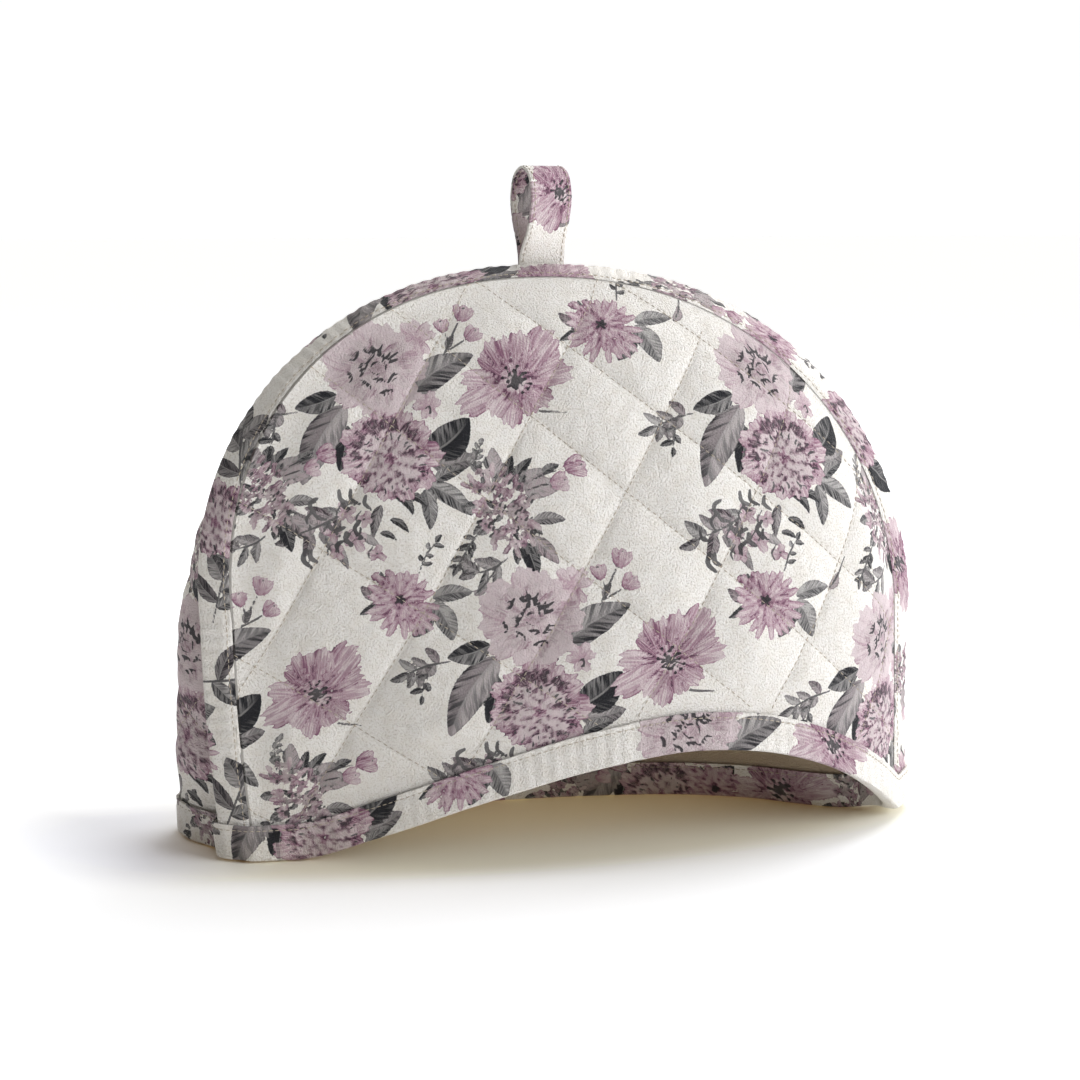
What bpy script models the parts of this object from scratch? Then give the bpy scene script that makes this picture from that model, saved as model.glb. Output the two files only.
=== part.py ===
"""Quilted dome tea cosy, standing open on its hem with the front hem lifted in an arch.

Metres, +Z up. X runs along the seam from one bottom corner to the other, -Y is the front.
Two quilted panels meet in a seam that runs up one side, over the top and down the other.
A folded binding covers that seam, a second one covers the whole hem, and a cloth loop
stands on the top of the seam.
"""
import math

import bmesh
import bpy
import numpy as np
from mathutils import Vector

# Seam line, where the two panels meet inside the binding
SEAM_HALF_WIDTH = 0.147
WIDEST_HEIGHT = 0.103
SEAM_TOP = 0.2445
SHOULDER_POWER = 2.15
APEX_SHIFT = -0.010
LEFT_NARROWING = 0.006
RIGHT_NARROWING = -0.001
SEAM_FRONT = -0.004
LEAN = 0.03
CURL = 0.10

# Height over which the bound edge straightens to end square with the hem
SQUARE_END = 0.030

# How far round the seam each straight side reaches, as a share of the seam's parameter
SIDE_SHARE = 0.27

# Plan of each panel's lining side at floor level, from the left seam to the right seam: x, y
BACK_PLAN = np.array([
    (-0.141, -0.004), (-0.141, 0.006), (-0.141, 0.016), (-0.141, 0.026),
    (-0.140, 0.0345), (-0.137, 0.041), (-0.129, 0.046), (-0.112, 0.048),
    (-0.080, 0.0472), (-0.030, 0.0465), (0.020, 0.044), (0.060, 0.038),
    (0.092, 0.027), (0.118, 0.012), (0.136, 0.004), (0.148, -0.004),
])
FRONT_PLAN = np.array([
    (-0.141, -0.004), (-0.122, -0.0055), (-0.098, -0.012), (-0.060, -0.024),
    (-0.015, -0.036), (0.030, -0.043), (0.070, -0.043), (0.104, -0.035),
    (0.128, -0.023), (0.142, -0.011), (0.148, -0.004),
])
BULGE_POWER = 1.8
# Bulge of the back past the left seam: height, most it reaches
OVERHANG = np.array([
    (0.0, 0.0320), (0.065, 0.0255), (0.100, 0.0220), (0.126, 0.0190), (0.149, 0.0150),
    (0.175, 0.0065), (0.197, 0.0), (0.300, 0.0),
])
# Shape of that bulge: depth behind the seam, share of the reach
OVERHANG_PROFILE = np.array([
    (0.0, 0.0), (0.0080, 0.01), (0.0120, 0.14), (0.0160, 0.36), (0.0220, 0.62), (0.0300, 0.85),
    (0.0400, 1.0), (0.0800, 1.0),
])
OVERHANG_WIDTH = 0.45
# The back's blunt left end changes into an even arch between these shares of the height
BLUNT_UNTIL = 0.55
ARCHED_FROM = 0.80
BACK_DEPTH = 0.050

# Height of the front hem: share of the way across, height
HEM_ARCH = np.array([
    (0.0, 0.0), (0.07, 0.0003), (0.18, 0.0106), (0.34, 0.0283), (0.50, 0.0430),
    (0.66, 0.0498), (0.80, 0.0430), (0.90, 0.0287), (0.96, 0.0148), (1.0, 0.0030),
])
# The back hem lies on the floor but for its right end, which rises to the raised corner
RIGHT_CORNER_HEIGHT = 0.0030
BACK_HEM_RISE_SHARE = 0.93

# Turn of the bound edge, from straight outwards towards the back: seam parameter, degrees
EDGE_TURN = np.array([
    (0.0, 22.0), (0.20, 22.0), (0.30, 27.0), (0.38, 56.0), (0.50, 60.0), (0.62, 42.0), (0.72, 42.0),
    (0.80, 49.0), (1.0, 51.0),
])

# Cloth thicknesses and clearances
SEAM_GAP = 0.0008
EDGE_THICKNESS = 0.0018
HEM_THICKNESS = 0.0030
BODY_THICKNESS = 0.0034
PUFF_HEIGHT = 0.0028
PUFF_RAMP = 0.022
MITRE_REACH = 0.011
LINING_PUFF = 0.0008
CLEARANCE = 0.0005
BINDING_THICKNESS = 0.0010

# Bound edge, measured outwards from the seam line
EDGE_REACH = 0.0130
BINDING_START = 0.0010
BINDING_BACK_START = 0.0080
BINDING_SHOULDER = 0.0124
BINDING_FOLD = 0.0136
BINDING_CORNER = 0.0152
BINDING_REACH = 0.0156
BINDING_STATIONS = 81

# Hem band
HEM_BAND_HEIGHT = 0.0165
HEM_BAND_THICKNESS = 0.0012
HEM_WEB = 0.0012
PANEL_LIFT = 0.0018
HEM_LEVELS = 3
HEM_SLOPE_STEP = 0.0125
BRIDGE_LEFT = 0.055
BRIDGE_RIGHT = 0.955
LEFT_TURN_STATIONS = 8
RIGHT_TURN_STATIONS = 9

# Quilting on the laid-out cloth. Falling lines: height where they cross the middle, slope
FALLING_LINES = np.array([
    (-0.067, -0.58), (-0.003, -0.60), (0.061, -0.66), (0.123, -0.87),
    (0.179, -0.93), (0.230, -0.92), (0.287, -0.90), (0.345, -0.90),
])
RISING_ANGLE = math.radians(56.4)
RISING_PITCH = 0.0492
RISING_START = 0.0236
CLOTH_STRETCH = 1.06

# Grid of each panel
COLUMNS = 44
LOWER_ROWS = 12
UPPER_ROWS = 16
MARGIN_STEPS = (0.5, 1.0)
CROWDING = 0.45

# Hanging loop
LOOP_WIDTH = 0.0205
LOOP_THICKNESS = 0.0018
LOOP_TWIST = math.radians(20)
LOOP_TWIST_HEIGHT = 0.015
LOOP_X = -0.007
LOOP_STEPS = 30
LOOP_CLEARANCE = 0.0004
# Share of its length from one foot to the other, depth, height above the bound edge
LOOP_OUTLINE = np.array([
    (0.0, -0.0011, -0.0085), (0.08, -0.0011, -0.0005), (0.17, -0.0028, 0.0085), (0.28, -0.0072, 0.0205),
    (0.38, -0.0086, 0.0315), (0.45, -0.0056, 0.0395), (0.50, 0.0, 0.0420), (0.55, 0.0056, 0.0395),
    (0.62, 0.0090, 0.0315), (0.72, 0.0080, 0.0205), (0.83, 0.0036, 0.0085), (0.92, 0.0011, -0.0005),
    (1.0, 0.0011, -0.0085),
])

CLOTH_COLOUR = (0.74, 0.66, 0.67, 1.0)
BINDING_COLOUR = (0.66, 0.56, 0.58, 1.0)
HEM_COLOUR = (0.68, 0.58, 0.60, 1.0)
LOOP_COLOUR = (0.62, 0.48, 0.52, 1.0)
CLOTH_ROUGHNESS = 0.85


def ease(t):
    """Rise smoothly from 0 to 1."""
    t = np.clip(t, 0.0, 1.0)
    return t * t * (3.0 - 2.0 * t)


def unit(vectors):
    return vectors / np.linalg.norm(vectors, axis=-1, keepdims=True)


def curve_at(stations, values, x):
    """Smooth cubic curve through the values of a short table."""
    x = np.asarray(x, float)
    slopes = np.gradient(values, stations, axis=0)
    i = np.clip(np.searchsorted(stations, x, side="right") - 1, 0, len(stations) - 2)
    step = stations[i + 1] - stations[i]
    t = (x - stations[i]) / step
    if values.ndim > 1:
        step = step[..., None]
        t = t[..., None]
    start = (2 * t**3 - 3 * t**2 + 1) * values[i] + (t**3 - 2 * t**2 + t) * step * slopes[i]
    end = (-2 * t**3 + 3 * t**2) * values[i + 1] + (t**3 - t**2) * step * slopes[i + 1]
    return start + end


def arc_stations(plan):
    """Share of a plan's length at each of its points."""
    travelled = np.r_[0, np.cumsum(np.linalg.norm(np.diff(plan, axis=0), axis=1))]
    return travelled / travelled[-1]


BACK_STATIONS = arc_stations(BACK_PLAN)
FRONT_STATIONS = arc_stations(FRONT_PLAN)


def rise(z):
    """Share of the way up from the widest height to the top."""
    return np.clip((z - WIDEST_HEIGHT) / (SEAM_TOP - WIDEST_HEIGHT), 0, 1)


def seam_sides(z):
    """X of the left and the right seam at a height."""
    up = rise(z)
    low = np.clip((WIDEST_HEIGHT - z) / WIDEST_HEIGHT, 0, 2) ** 2
    half = SEAM_HALF_WIDTH * (1 - up**SHOULDER_POWER) ** (1 / SHOULDER_POWER)
    middle = APEX_SHIFT * up
    return middle - half + LEFT_NARROWING * low, middle + half - RIGHT_NARROWING * low


def seam_y(z):
    return SEAM_FRONT + LEAN * z + CURL * z * z / SEAM_TOP


def lining_point(front, s, z):
    """Point on a panel's lining side, a share s of the way across at height z."""
    stations, plan = (FRONT_STATIONS, FRONT_PLAN) if front else (BACK_STATIONS, BACK_PLAN)
    s, z = np.broadcast_arrays(np.asarray(s, float), np.asarray(z, float))
    base = curve_at(stations, plan, s)
    first, last = plan[0, 0], plan[-1, 0]
    across = np.clip((base[..., 0] - first) / (last - first), 0, 1)
    depth = base[..., 1] - SEAM_FRONT
    up = np.clip(z / SEAM_TOP, 0, 1)
    left, right = seam_sides(z)
    if front:
        depth = depth * (1 - up**BULGE_POWER)
        return np.stack([left + (right - left) * across, seam_y(z) + depth, z], -1)
    arched = ease((up - BLUNT_UNTIL) / (ARCHED_FROM - BLUNT_UNTIL))
    across = across + (s - across) * arched
    depth = depth + (BACK_DEPTH * (1 - (2 * s - 1) ** 2) - depth) * arched
    depth = depth * (1 - up**BULGE_POWER)
    reach = np.interp(depth, OVERHANG_PROFILE[:, 0], OVERHANG_PROFILE[:, 1])
    reach = reach * curve_at(OVERHANG[:, 0], OVERHANG[:, 1], z) * (1 - ease(across / OVERHANG_WIDTH))
    return np.stack([left + (right - left) * across - reach, seam_y(z) + depth, z], -1)


def hem_height(front, s):
    """Height of a panel's hem a share s of the way across."""
    s = np.asarray(s, float)
    if not front:
        return RIGHT_CORNER_HEIGHT * ease((s - BACK_HEM_RISE_SHARE) / (1 - BACK_HEM_RISE_SHARE))
    x = curve_at(FRONT_STATIONS, FRONT_PLAN, s)[..., 0]
    across = (x - FRONT_PLAN[0, 0]) / (FRONT_PLAN[-1, 0] - FRONT_PLAN[0, 0])
    return np.maximum(curve_at(HEM_ARCH[:, 0], HEM_ARCH[:, 1], across), 0)


def superellipse(angle):
    """Reach of the rounded top outline along an angle, against a unit circle."""
    c, s = np.abs(np.cos(angle)), np.abs(np.sin(angle))
    return (c**SHOULDER_POWER + s**SHOULDER_POWER) ** (-1 / SHOULDER_POWER)


def seam_point(a):
    """Seam line: 0 at the left base, 0.5 at the apex, 1 at the right base."""
    a = np.asarray(a, float)
    low_z = WIDEST_HEIGHT * np.minimum(a, 1 - a) / SIDE_SHARE
    angle = math.pi - math.pi * np.clip((a - SIDE_SHARE) / (1 - 2 * SIDE_SHARE), 0, 1)
    reach = superellipse(angle)
    high_z = WIDEST_HEIGHT + (SEAM_TOP - WIDEST_HEIGHT) * reach * np.sin(angle)
    high_x = APEX_SHIFT * rise(high_z) + SEAM_HALF_WIDTH * reach * np.cos(angle)
    low = np.minimum(a, 1 - a) < SIDE_SHARE
    z = np.where(low, low_z, high_z)
    left, right = seam_sides(z)
    x = np.where(low, np.where(a < 0.5, left, right), high_x)
    return np.stack([x, seam_y(z), z], -1)


def seam_frame(a):
    """Seam point, direction of the bound edge, and the normal of its front face."""
    a = np.asarray(a, float)
    delta = 0.004
    point = seam_point(a)
    floor = np.where(a < 0.5, 0, RIGHT_CORNER_HEIGHT)
    square = ease((point[..., 2] - floor) / SQUARE_END)[..., None]
    tangent = seam_point(a + delta) - seam_point(a - delta)
    tangent = unit(np.concatenate([tangent[..., :2] * square, tangent[..., 2:]], -1))
    slope = (LEAN + 2 * CURL * point[..., 2:] / SEAM_TOP) * square
    backwards = unit(np.concatenate([0 * slope, 1 + 0 * slope, -slope], -1))
    outwards = unit(np.cross(tangent, backwards))
    turn = np.radians(curve_at(EDGE_TURN[:, 0], EDGE_TURN[:, 1], a))[..., None]
    edge = outwards * np.cos(turn) + backwards * np.sin(turn)
    facing = outwards * np.sin(turn) - backwards * np.cos(turn)
    return point, edge, facing


def profile_lengths():
    """Length of cloth from the floor up to each height, along the front's middle."""
    z = np.linspace(0, SEAM_TOP, 200)
    profile = lining_point(True, 0.55, z)
    return z, np.r_[0, np.cumsum(np.linalg.norm(np.diff(profile, axis=0), axis=1))]


PROFILE_Z, PROFILE_LENGTH = profile_lengths()


def laid_out(front, s, z):
    """Place of a point on the flat cloth, x from the middle and height from the hem."""
    left, right = seam_sides(z)
    x = (s - 0.5) * (right - left) * CLOTH_STRETCH
    return (x if front else -x), np.interp(z, PROFILE_Z, PROFILE_LENGTH)


def puff(front, s, z):
    """Swell of the quilting: 0 on a stitched line, 1 in the middle of a diamond."""
    x, y = laid_out(front, s, z)
    distance = [(y - (height + slope * x)) / math.hypot(1, slope) for height, slope in FALLING_LINES]
    share = np.zeros_like(x)
    for below, above in zip(distance[:-1], distance[1:]):
        between = (below >= 0) & (above < 0)
        share = np.where(between, below / np.maximum(below - above, 1e-6), share)
    rising = (y * math.cos(RISING_ANGLE) - x * math.sin(RISING_ANGLE) - RISING_START) / RISING_PITCH
    swell = np.abs(np.sin(math.pi * share)) * np.abs(np.sin(math.pi * rising))
    return np.sqrt(swell)


def crowd(front, share, height):
    """Bring a panel's columns closer together at its more sharply curved end, less so higher up."""
    amount = CROWDING * (1 - ease(height)) * share * (1 - share)
    return share + amount if front else share - amount


def panel_domain(front):
    """Grid of a panel: share across, height (lower rows as shares) and distance from the seam."""
    u = np.linspace(-1, 1, COLUMNS + 1)
    across, height, inset = [], [], []
    for v in np.linspace(-1, 0, LOWER_ROWS + 1)[:-1]:
        across.append((u + 1) / 2)
        height.append(np.full(COLUMNS + 1, v))
        inset.append((1 - np.abs(u)) * SEAM_HALF_WIDTH)
    for v in np.linspace(0, 1, UPPER_ROWS + 1):
        x = u * np.sqrt(1 - v * v / 2)
        y = v * np.sqrt(1 - u * u / 2)
        reach = superellipse(np.arctan2(y, x))
        chord = np.maximum(1 - (reach * y) ** SHOULDER_POWER, 0) ** (1 / SHOULDER_POWER)
        share = np.where(chord > 1e-5, reach * x / np.maximum(chord, 1e-5), 0)
        across.append((np.clip(share, -1, 1) + 1) / 2)
        height.append(reach * y)
        inset.append((1 - np.hypot(x, y)) * SEAM_HALF_WIDTH)
    across, height, inset = np.array(across), np.array(height), np.maximum(np.array(inset), 0)
    crowded = crowd(front, across, height)
    near, nearer = np.minimum(across, 1 - across), np.minimum(crowded, 1 - crowded)
    return crowded, height, inset * (nearer + 1e-6) / (near + 1e-6)


def panel_heights(front, across, height):
    """Turn the grid's heights into metres, the lower rows starting at the hem."""
    hem = PANEL_LIFT + hem_height(front, across)
    lower = hem + (WIDEST_HEIGHT - hem) * (height + 1)
    upper = WIDEST_HEIGHT + (SEAM_TOP - WIDEST_HEIGHT) * height
    return np.where(height < 0, lower, upper), hem


def outward_normals(grid, front):
    down = np.gradient(grid, axis=0)
    along = np.gradient(grid, axis=1)
    normal = np.cross(along, down)
    length = np.linalg.norm(normal, axis=-1, keepdims=True)
    normal = normal / np.maximum(length, 1e-12)
    facing = -1.0 if front else 1.0
    middle = normal[LOWER_ROWS // 2, COLUMNS // 2, 1]
    return normal if middle * facing > 0 else -normal


def seam_ring(front, height):
    """Seam parameters of the grid's border, from the left hem over the top to the right hem."""
    z, _ = panel_heights(front, np.zeros(1), height[:, :1][:LOWER_ROWS])
    left = SIDE_SHARE * z[:, 0] / WIDEST_HEIGHT
    z, _ = panel_heights(front, np.ones(1), height[:, -1:][:LOWER_ROWS])
    right = 1 - SIDE_SHARE * z[:, 0] / WIDEST_HEIGHT
    u = np.linspace(-1, 1, COLUMNS + 1)
    v = np.linspace(0, 1, UPPER_ROWS + 1)
    side = np.arctan2(v * math.sqrt(0.5), np.sqrt(1 - v * v / 2)) / math.pi
    top = 1 - np.arctan2(np.sqrt(1 - u * u / 2), u * math.sqrt(0.5)) / math.pi
    span = 1 - 2 * SIDE_SHARE
    over = np.r_[side, top[1:-1], 1 - side[::-1]]
    return np.r_[left, SIDE_SHARE + span * over, right[::-1]]


def ring_cells():
    """Grid rows and columns of the border, in the order of seam_ring."""
    rows = list(range(LOWER_ROWS + UPPER_ROWS + 1))
    cells = [(row, 0) for row in rows]
    cells += [(rows[-1], column) for column in range(1, COLUMNS)]
    cells += [(row, COLUMNS) for row in reversed(rows)]
    return cells


def panel_surfaces(front):
    """Lining and outer grids of a panel, its border cells and its bound margin."""
    across, height, inset = panel_domain(front)
    z, hem = panel_heights(front, across, height)
    side = -1.0 if front else 1.0
    lining = lining_point(front, across, z)
    lining[..., 1] += side * SEAM_GAP / 2
    normal = outward_normals(lining, front)
    held = z - hem - HEM_BAND_HEIGHT
    swell = puff(front, across, z) * ease(inset / PUFF_RAMP) * ease(held / PUFF_RAMP)
    cells = ring_cells()
    point, edge, facing = seam_frame(seam_ring(front, height))
    out = facing * -side
    for k, (row, column) in enumerate(cells):
        lining[row, column] = point[k] + out[k] * SEAM_GAP / 2
        turned = unit(out[k] + normal[row, column])
        square = max(float(turned @ out[k]), 0.5)
        normal[row, column] = turned / square
    around = (normal[:-2, 1:-1] + normal[2:, 1:-1] + normal[1:-1, :-2] + normal[1:-1, 2:]) / 4
    close = 1 - ease(inset / MITRE_REACH)[1:-1, 1:-1, None]
    normal[1:-1, 1:-1] += (around - normal[1:-1, 1:-1]) * close
    body = EDGE_THICKNESS + (BODY_THICKNESS - EDGE_THICKNESS) * ease(inset / PUFF_RAMP)
    body = np.minimum(body, HEM_THICKNESS + (BODY_THICKNESS - HEM_THICKNESS) * ease(held / PUFF_RAMP))
    outer = lining + normal * (body + PUFF_HEIGHT * swell)[..., None]
    lining = lining - normal * (LINING_PUFF * swell)[..., None]
    margin = []
    for step in MARGIN_STEPS:
        inner = point + edge * EDGE_REACH * step + out * SEAM_GAP / 2
        margin.append((inner, inner + out * EDGE_THICKNESS))
    return lining, outer, cells, margin


def closed_mesh(name, points, faces, colour):
    """Build one closed solid with its faces outwards and its own material."""
    bm = bmesh.new()
    vertices = [bm.verts.new(tuple(map(float, point))) for point in points]
    for face in faces:
        bm.faces.new([vertices[i] for i in face])
    bmesh.ops.recalc_face_normals(bm, faces=bm.faces)
    if bm.calc_volume(signed=True) < 0:
        bmesh.ops.reverse_faces(bm, faces=bm.faces)
    mesh = bpy.data.meshes.new(name)
    bm.to_mesh(mesh)
    bm.free()
    mesh.shade_smooth()
    mesh.set_sharp_from_angle(angle=math.radians(50))
    material = bpy.data.materials.new(name + "_cloth")
    material.use_nodes = True
    shader = material.node_tree.nodes["Principled BSDF"]
    shader.inputs["Base Color"].default_value = colour
    shader.inputs["Roughness"].default_value = CLOTH_ROUGHNESS
    mesh.materials.append(material)
    piece = bpy.data.objects.new(name, mesh)
    bpy.context.scene.collection.objects.link(piece)
    return piece


def quilted_panel(name, front):
    """One quilted panel with the flat margin that the binding holds."""
    lining, outer, cells, margin = panel_surfaces(front)
    rows, columns = lining.shape[:2]
    points = list(lining.reshape(-1, 3)) + list(outer.reshape(-1, 3))
    half = rows * columns

    def at(layer, row, column):
        return layer * half + row * columns + column

    faces = []
    for row in range(rows - 1):
        for column in range(columns - 1):
            for layer in (0, 1):
                faces.append((at(layer, row, column), at(layer, row, column + 1),
                              at(layer, row + 1, column + 1), at(layer, row + 1, column)))
    for column in range(columns - 1):
        faces.append((at(0, 0, column), at(0, 0, column + 1), at(1, 0, column + 1), at(1, 0, column)))
    loops = [([at(0, *cell) for cell in cells], [at(1, *cell) for cell in cells])]
    for inner, outside in margin:
        start = len(points)
        count = len(inner)
        points += list(inner) + list(outside)
        loops.append((list(range(start, start + count)), list(range(start + count, start + 2 * count))))
    for (in_a, out_a), (in_b, out_b) in zip(loops[:-1], loops[1:]):
        for k in range(len(cells) - 1):
            faces.append((in_a[k], in_a[k + 1], in_b[k + 1], in_b[k]))
            faces.append((out_a[k], out_a[k + 1], out_b[k + 1], out_b[k]))
        for k in (0, len(cells) - 1):
            faces.append((in_a[k], out_a[k], out_b[k], in_b[k]))
    last_in, last_out = loops[-1]
    for k in range(len(cells) - 1):
        faces.append((last_in[k], last_in[k + 1], last_out[k + 1], last_out[k]))
    return closed_mesh(name, points, faces, CLOTH_COLOUR)


def swept(name, sections, closed, colour):
    """Join equal rings of points into one closed solid, capped unless the row closes."""
    count = len(sections[0])
    points = [point for section in sections for point in section]
    faces = []
    total = len(sections)
    for i in range(total if closed else total - 1):
        j = (i + 1) % total
        for k in range(count):
            m = (k + 1) % count
            faces.append((i * count + k, i * count + m, j * count + m, j * count + k))
    if not closed:
        faces.append(tuple(range(count)))
        faces.append(tuple((total - 1) * count + k for k in range(count)))
    return closed_mesh(name, points, faces, colour)


def binding_section(point, edge, facing):
    """Outline of the folded strip across the bound edge at one place."""
    inside = SEAM_GAP / 2 + EDGE_THICKNESS + CLEARANCE
    outside = inside + BINDING_THICKNESS
    profile = [
        (BINDING_START, inside), (BINDING_START, outside), (BINDING_SHOULDER, outside),
        (BINDING_CORNER, outside * 0.55), (BINDING_REACH, 0.0), (BINDING_CORNER, -outside * 0.55),
        (BINDING_SHOULDER, -outside), (BINDING_BACK_START, -outside), (BINDING_BACK_START, -inside),
        (BINDING_FOLD, -inside), (BINDING_FOLD, inside),
    ]
    return [point + edge * reach + facing * height for reach, height in profile]


def seam_binding():
    """Folded strip over the bound edge, from inside one hem corner to the other."""
    start = SIDE_SHARE * PANEL_LIFT / WIDEST_HEIGHT
    end = 1 - SIDE_SHARE * (RIGHT_CORNER_HEIGHT + PANEL_LIFT) / WIDEST_HEIGHT
    frames = zip(*seam_frame(np.linspace(start, end, BINDING_STATIONS)))
    sections = [binding_section(*frame) for frame in frames]
    return swept("seam_binding", sections, False, BINDING_COLOUR)


def hem_side(front, share, level):
    """Slot points of the hem band inside and outside a panel, and the outward normal."""
    side = -1.0 if front else 1.0
    z = hem_height(front, share) + level
    lining = lining_point(front, share, z)
    ahead = lining_point(front, min(share + HEM_SLOPE_STEP, 1), z)
    behind = lining_point(front, max(share - HEM_SLOPE_STEP, 0), z)
    along = unit((ahead - behind) * (1, 1, 0))
    normal = np.array([along[1], -along[0], 0]) * -side
    start = lining + np.array([0, side * SEAM_GAP / 2, 0])
    return start - normal * CLEARANCE, start + normal * (HEM_THICKNESS + CLEARANCE), normal


def corner_outline(left, count, level):
    """Outer stations of the hem band from the seam round the bound edge's tip, with normals."""
    half = SEAM_GAP / 2 + EDGE_THICKNESS + 2 * CLEARANCE + BINDING_THICKNESS
    base = 0.0 if left else RIGHT_CORNER_HEIGHT
    a = SIDE_SHARE * (base + level) / WIDEST_HEIGHT
    point, edge, facing = (part[0] for part in seam_frame(np.array([a if left else 1 - a])))
    around = [(0.0, half), (0.0060, half), (0.0125, half), (BINDING_REACH + 0.0007, half * 0.6),
              (BINDING_REACH + 0.0014, 0.0), (BINDING_REACH + 0.0007, -half * 0.6)]
    spots = [(point + edge * reach + facing * height) * (1, 1, 0) for reach, height in around]
    spots = [spot + (0, 0, base + level) for spot in spots]
    landing = hem_side(False, BRIDGE_LEFT if left else BRIDGE_RIGHT, level)[1]
    free = count - len(around)
    tip = spots[-1]
    spots = np.array(spots + [tip + (landing - tip) * (k + 1) / (free + 1) for k in range(free)])
    along = unit(np.gradient(spots, axis=0) * (1, 1, 0))
    side = -1.0 if left else 1.0
    return spots, np.stack([along[:, 1], -along[:, 0], 0 * along[:, 0]], -1) * side


def hem_stations(level):
    """Slot points of the hem band at one level: front, right corner, back, left corner."""
    grid = np.linspace(0, 1, COLUMNS + 1)
    back = crowd(False, grid, 0)
    back = back[(back > BRIDGE_LEFT) & (back < BRIDGE_RIGHT)]
    rows = [hem_side(True, share, level) for share in crowd(True, grid, 0)[1:-1]]
    stations = [(outside, normal, inside, normal) for inside, outside, normal in rows]
    spots, pushes = corner_outline(False, RIGHT_TURN_STATIONS, level)
    for k, share in enumerate(np.linspace(0.992, BRIDGE_RIGHT + 0.004, RIGHT_TURN_STATIONS)):
        inside, _, normal = hem_side(False, share, level)
        stations.append((spots[k], pushes[k], inside, normal))
    rows = [hem_side(False, share, level) for share in back[::-1]]
    stations += [(outside, normal, inside, normal) for inside, outside, normal in rows]
    spots, pushes = corner_outline(True, LEFT_TURN_STATIONS, level)
    for k, share in enumerate(np.linspace(BRIDGE_LEFT - 0.005, 0.010, LEFT_TURN_STATIONS)):
        inside, _, normal = hem_side(False, share, level)
        stations.append((spots[-1 - k], pushes[-1 - k], inside, normal))
    return stations


def hem_binding():
    """Band folded round the whole hem, over both panels and both ends of the bound edge."""
    levels = [hem_stations(level) for level in np.linspace(0, HEM_BAND_HEIGHT, HEM_LEVELS + 1)]
    lift = np.array([0, 0, HEM_WEB])
    sections = []
    for stations in zip(*levels):
        face = [outer + push * HEM_BAND_THICKNESS for outer, push, _, _ in stations]
        slot = [outer for outer, _, _, _ in stations]
        lining = [inner for _, _, inner, _ in stations]
        hidden = [inner - push * HEM_BAND_THICKNESS for _, _, inner, push in stations]
        slot[0] = slot[0] + lift
        lining[0] = lining[0] + lift
        sections.append(face + slot[::-1] + lining + hidden[::-1])
    return swept("hem_binding", sections, True, HEM_COLOUR)


def hanging_loop():
    """Strip folded into a teardrop, its two legs side by side behind the bound edge."""
    frame = (part[0] for part in seam_frame(np.array([0.5])))
    outline = np.array(binding_section(*frame))
    half = LOOP_THICKNESS / 2
    foot_y = outline[:, 1].max() + LOOP_CLEARANCE + LOOP_THICKNESS + LOOP_CLEARANCE / 2
    foot_z = outline[:, 2].max()
    share = np.linspace(0, 1, LOOP_STEPS + 1)
    depth, height = curve_at(LOOP_OUTLINE[:, 0], LOOP_OUTLINE[:, 1:], share).T
    along_depth, along_height = unit(np.gradient(np.stack([depth, height], -1), axis=0)).T
    sections = []
    for d, h, td, th in zip(depth, height, along_depth, along_height):
        turn = LOOP_TWIST * float(ease(h / LOOP_TWIST_HEIGHT))
        wide = np.array([math.cos(turn), math.sin(turn), 0])
        deep = np.array([-math.sin(turn), math.cos(turn), 0])
        spot = np.array([LOOP_X, foot_y, foot_z + h]) + deep * d
        thick = np.array([0, 0, td]) - deep * th
        sections.append([spot + wide * (i * LOOP_WIDTH / 2) + thick * (j * half)
                         for i, j in ((-1, -1), (1, -1), (1, 1), (-1, 1))])
    return swept("hanging_loop", sections, False, LOOP_COLOUR)


def clear_scene():
    for item in list(bpy.data.objects):
        bpy.data.objects.remove(item, do_unlink=True)


def centre(pieces):
    """Move all the pieces together so that their bounds stand centred on the origin."""
    points = np.array([vertex.co for piece in pieces for vertex in piece.data.vertices])
    low, high = points.min(axis=0), points.max(axis=0)
    shift = Vector((-(low[0] + high[0]) / 2, -(low[1] + high[1]) / 2, -low[2]))
    for piece in pieces:
        for vertex in piece.data.vertices:
            vertex.co += shift


def main():
    clear_scene()
    centre([
        quilted_panel("front_panel", True),
        quilted_panel("back_panel", False),
        seam_binding(),
        hem_binding(),
        hanging_loop(),
    ])


main()
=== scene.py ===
import math

import bpy
import numpy as np
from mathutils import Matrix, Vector
from mathutils.kdtree import KDTree


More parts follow.
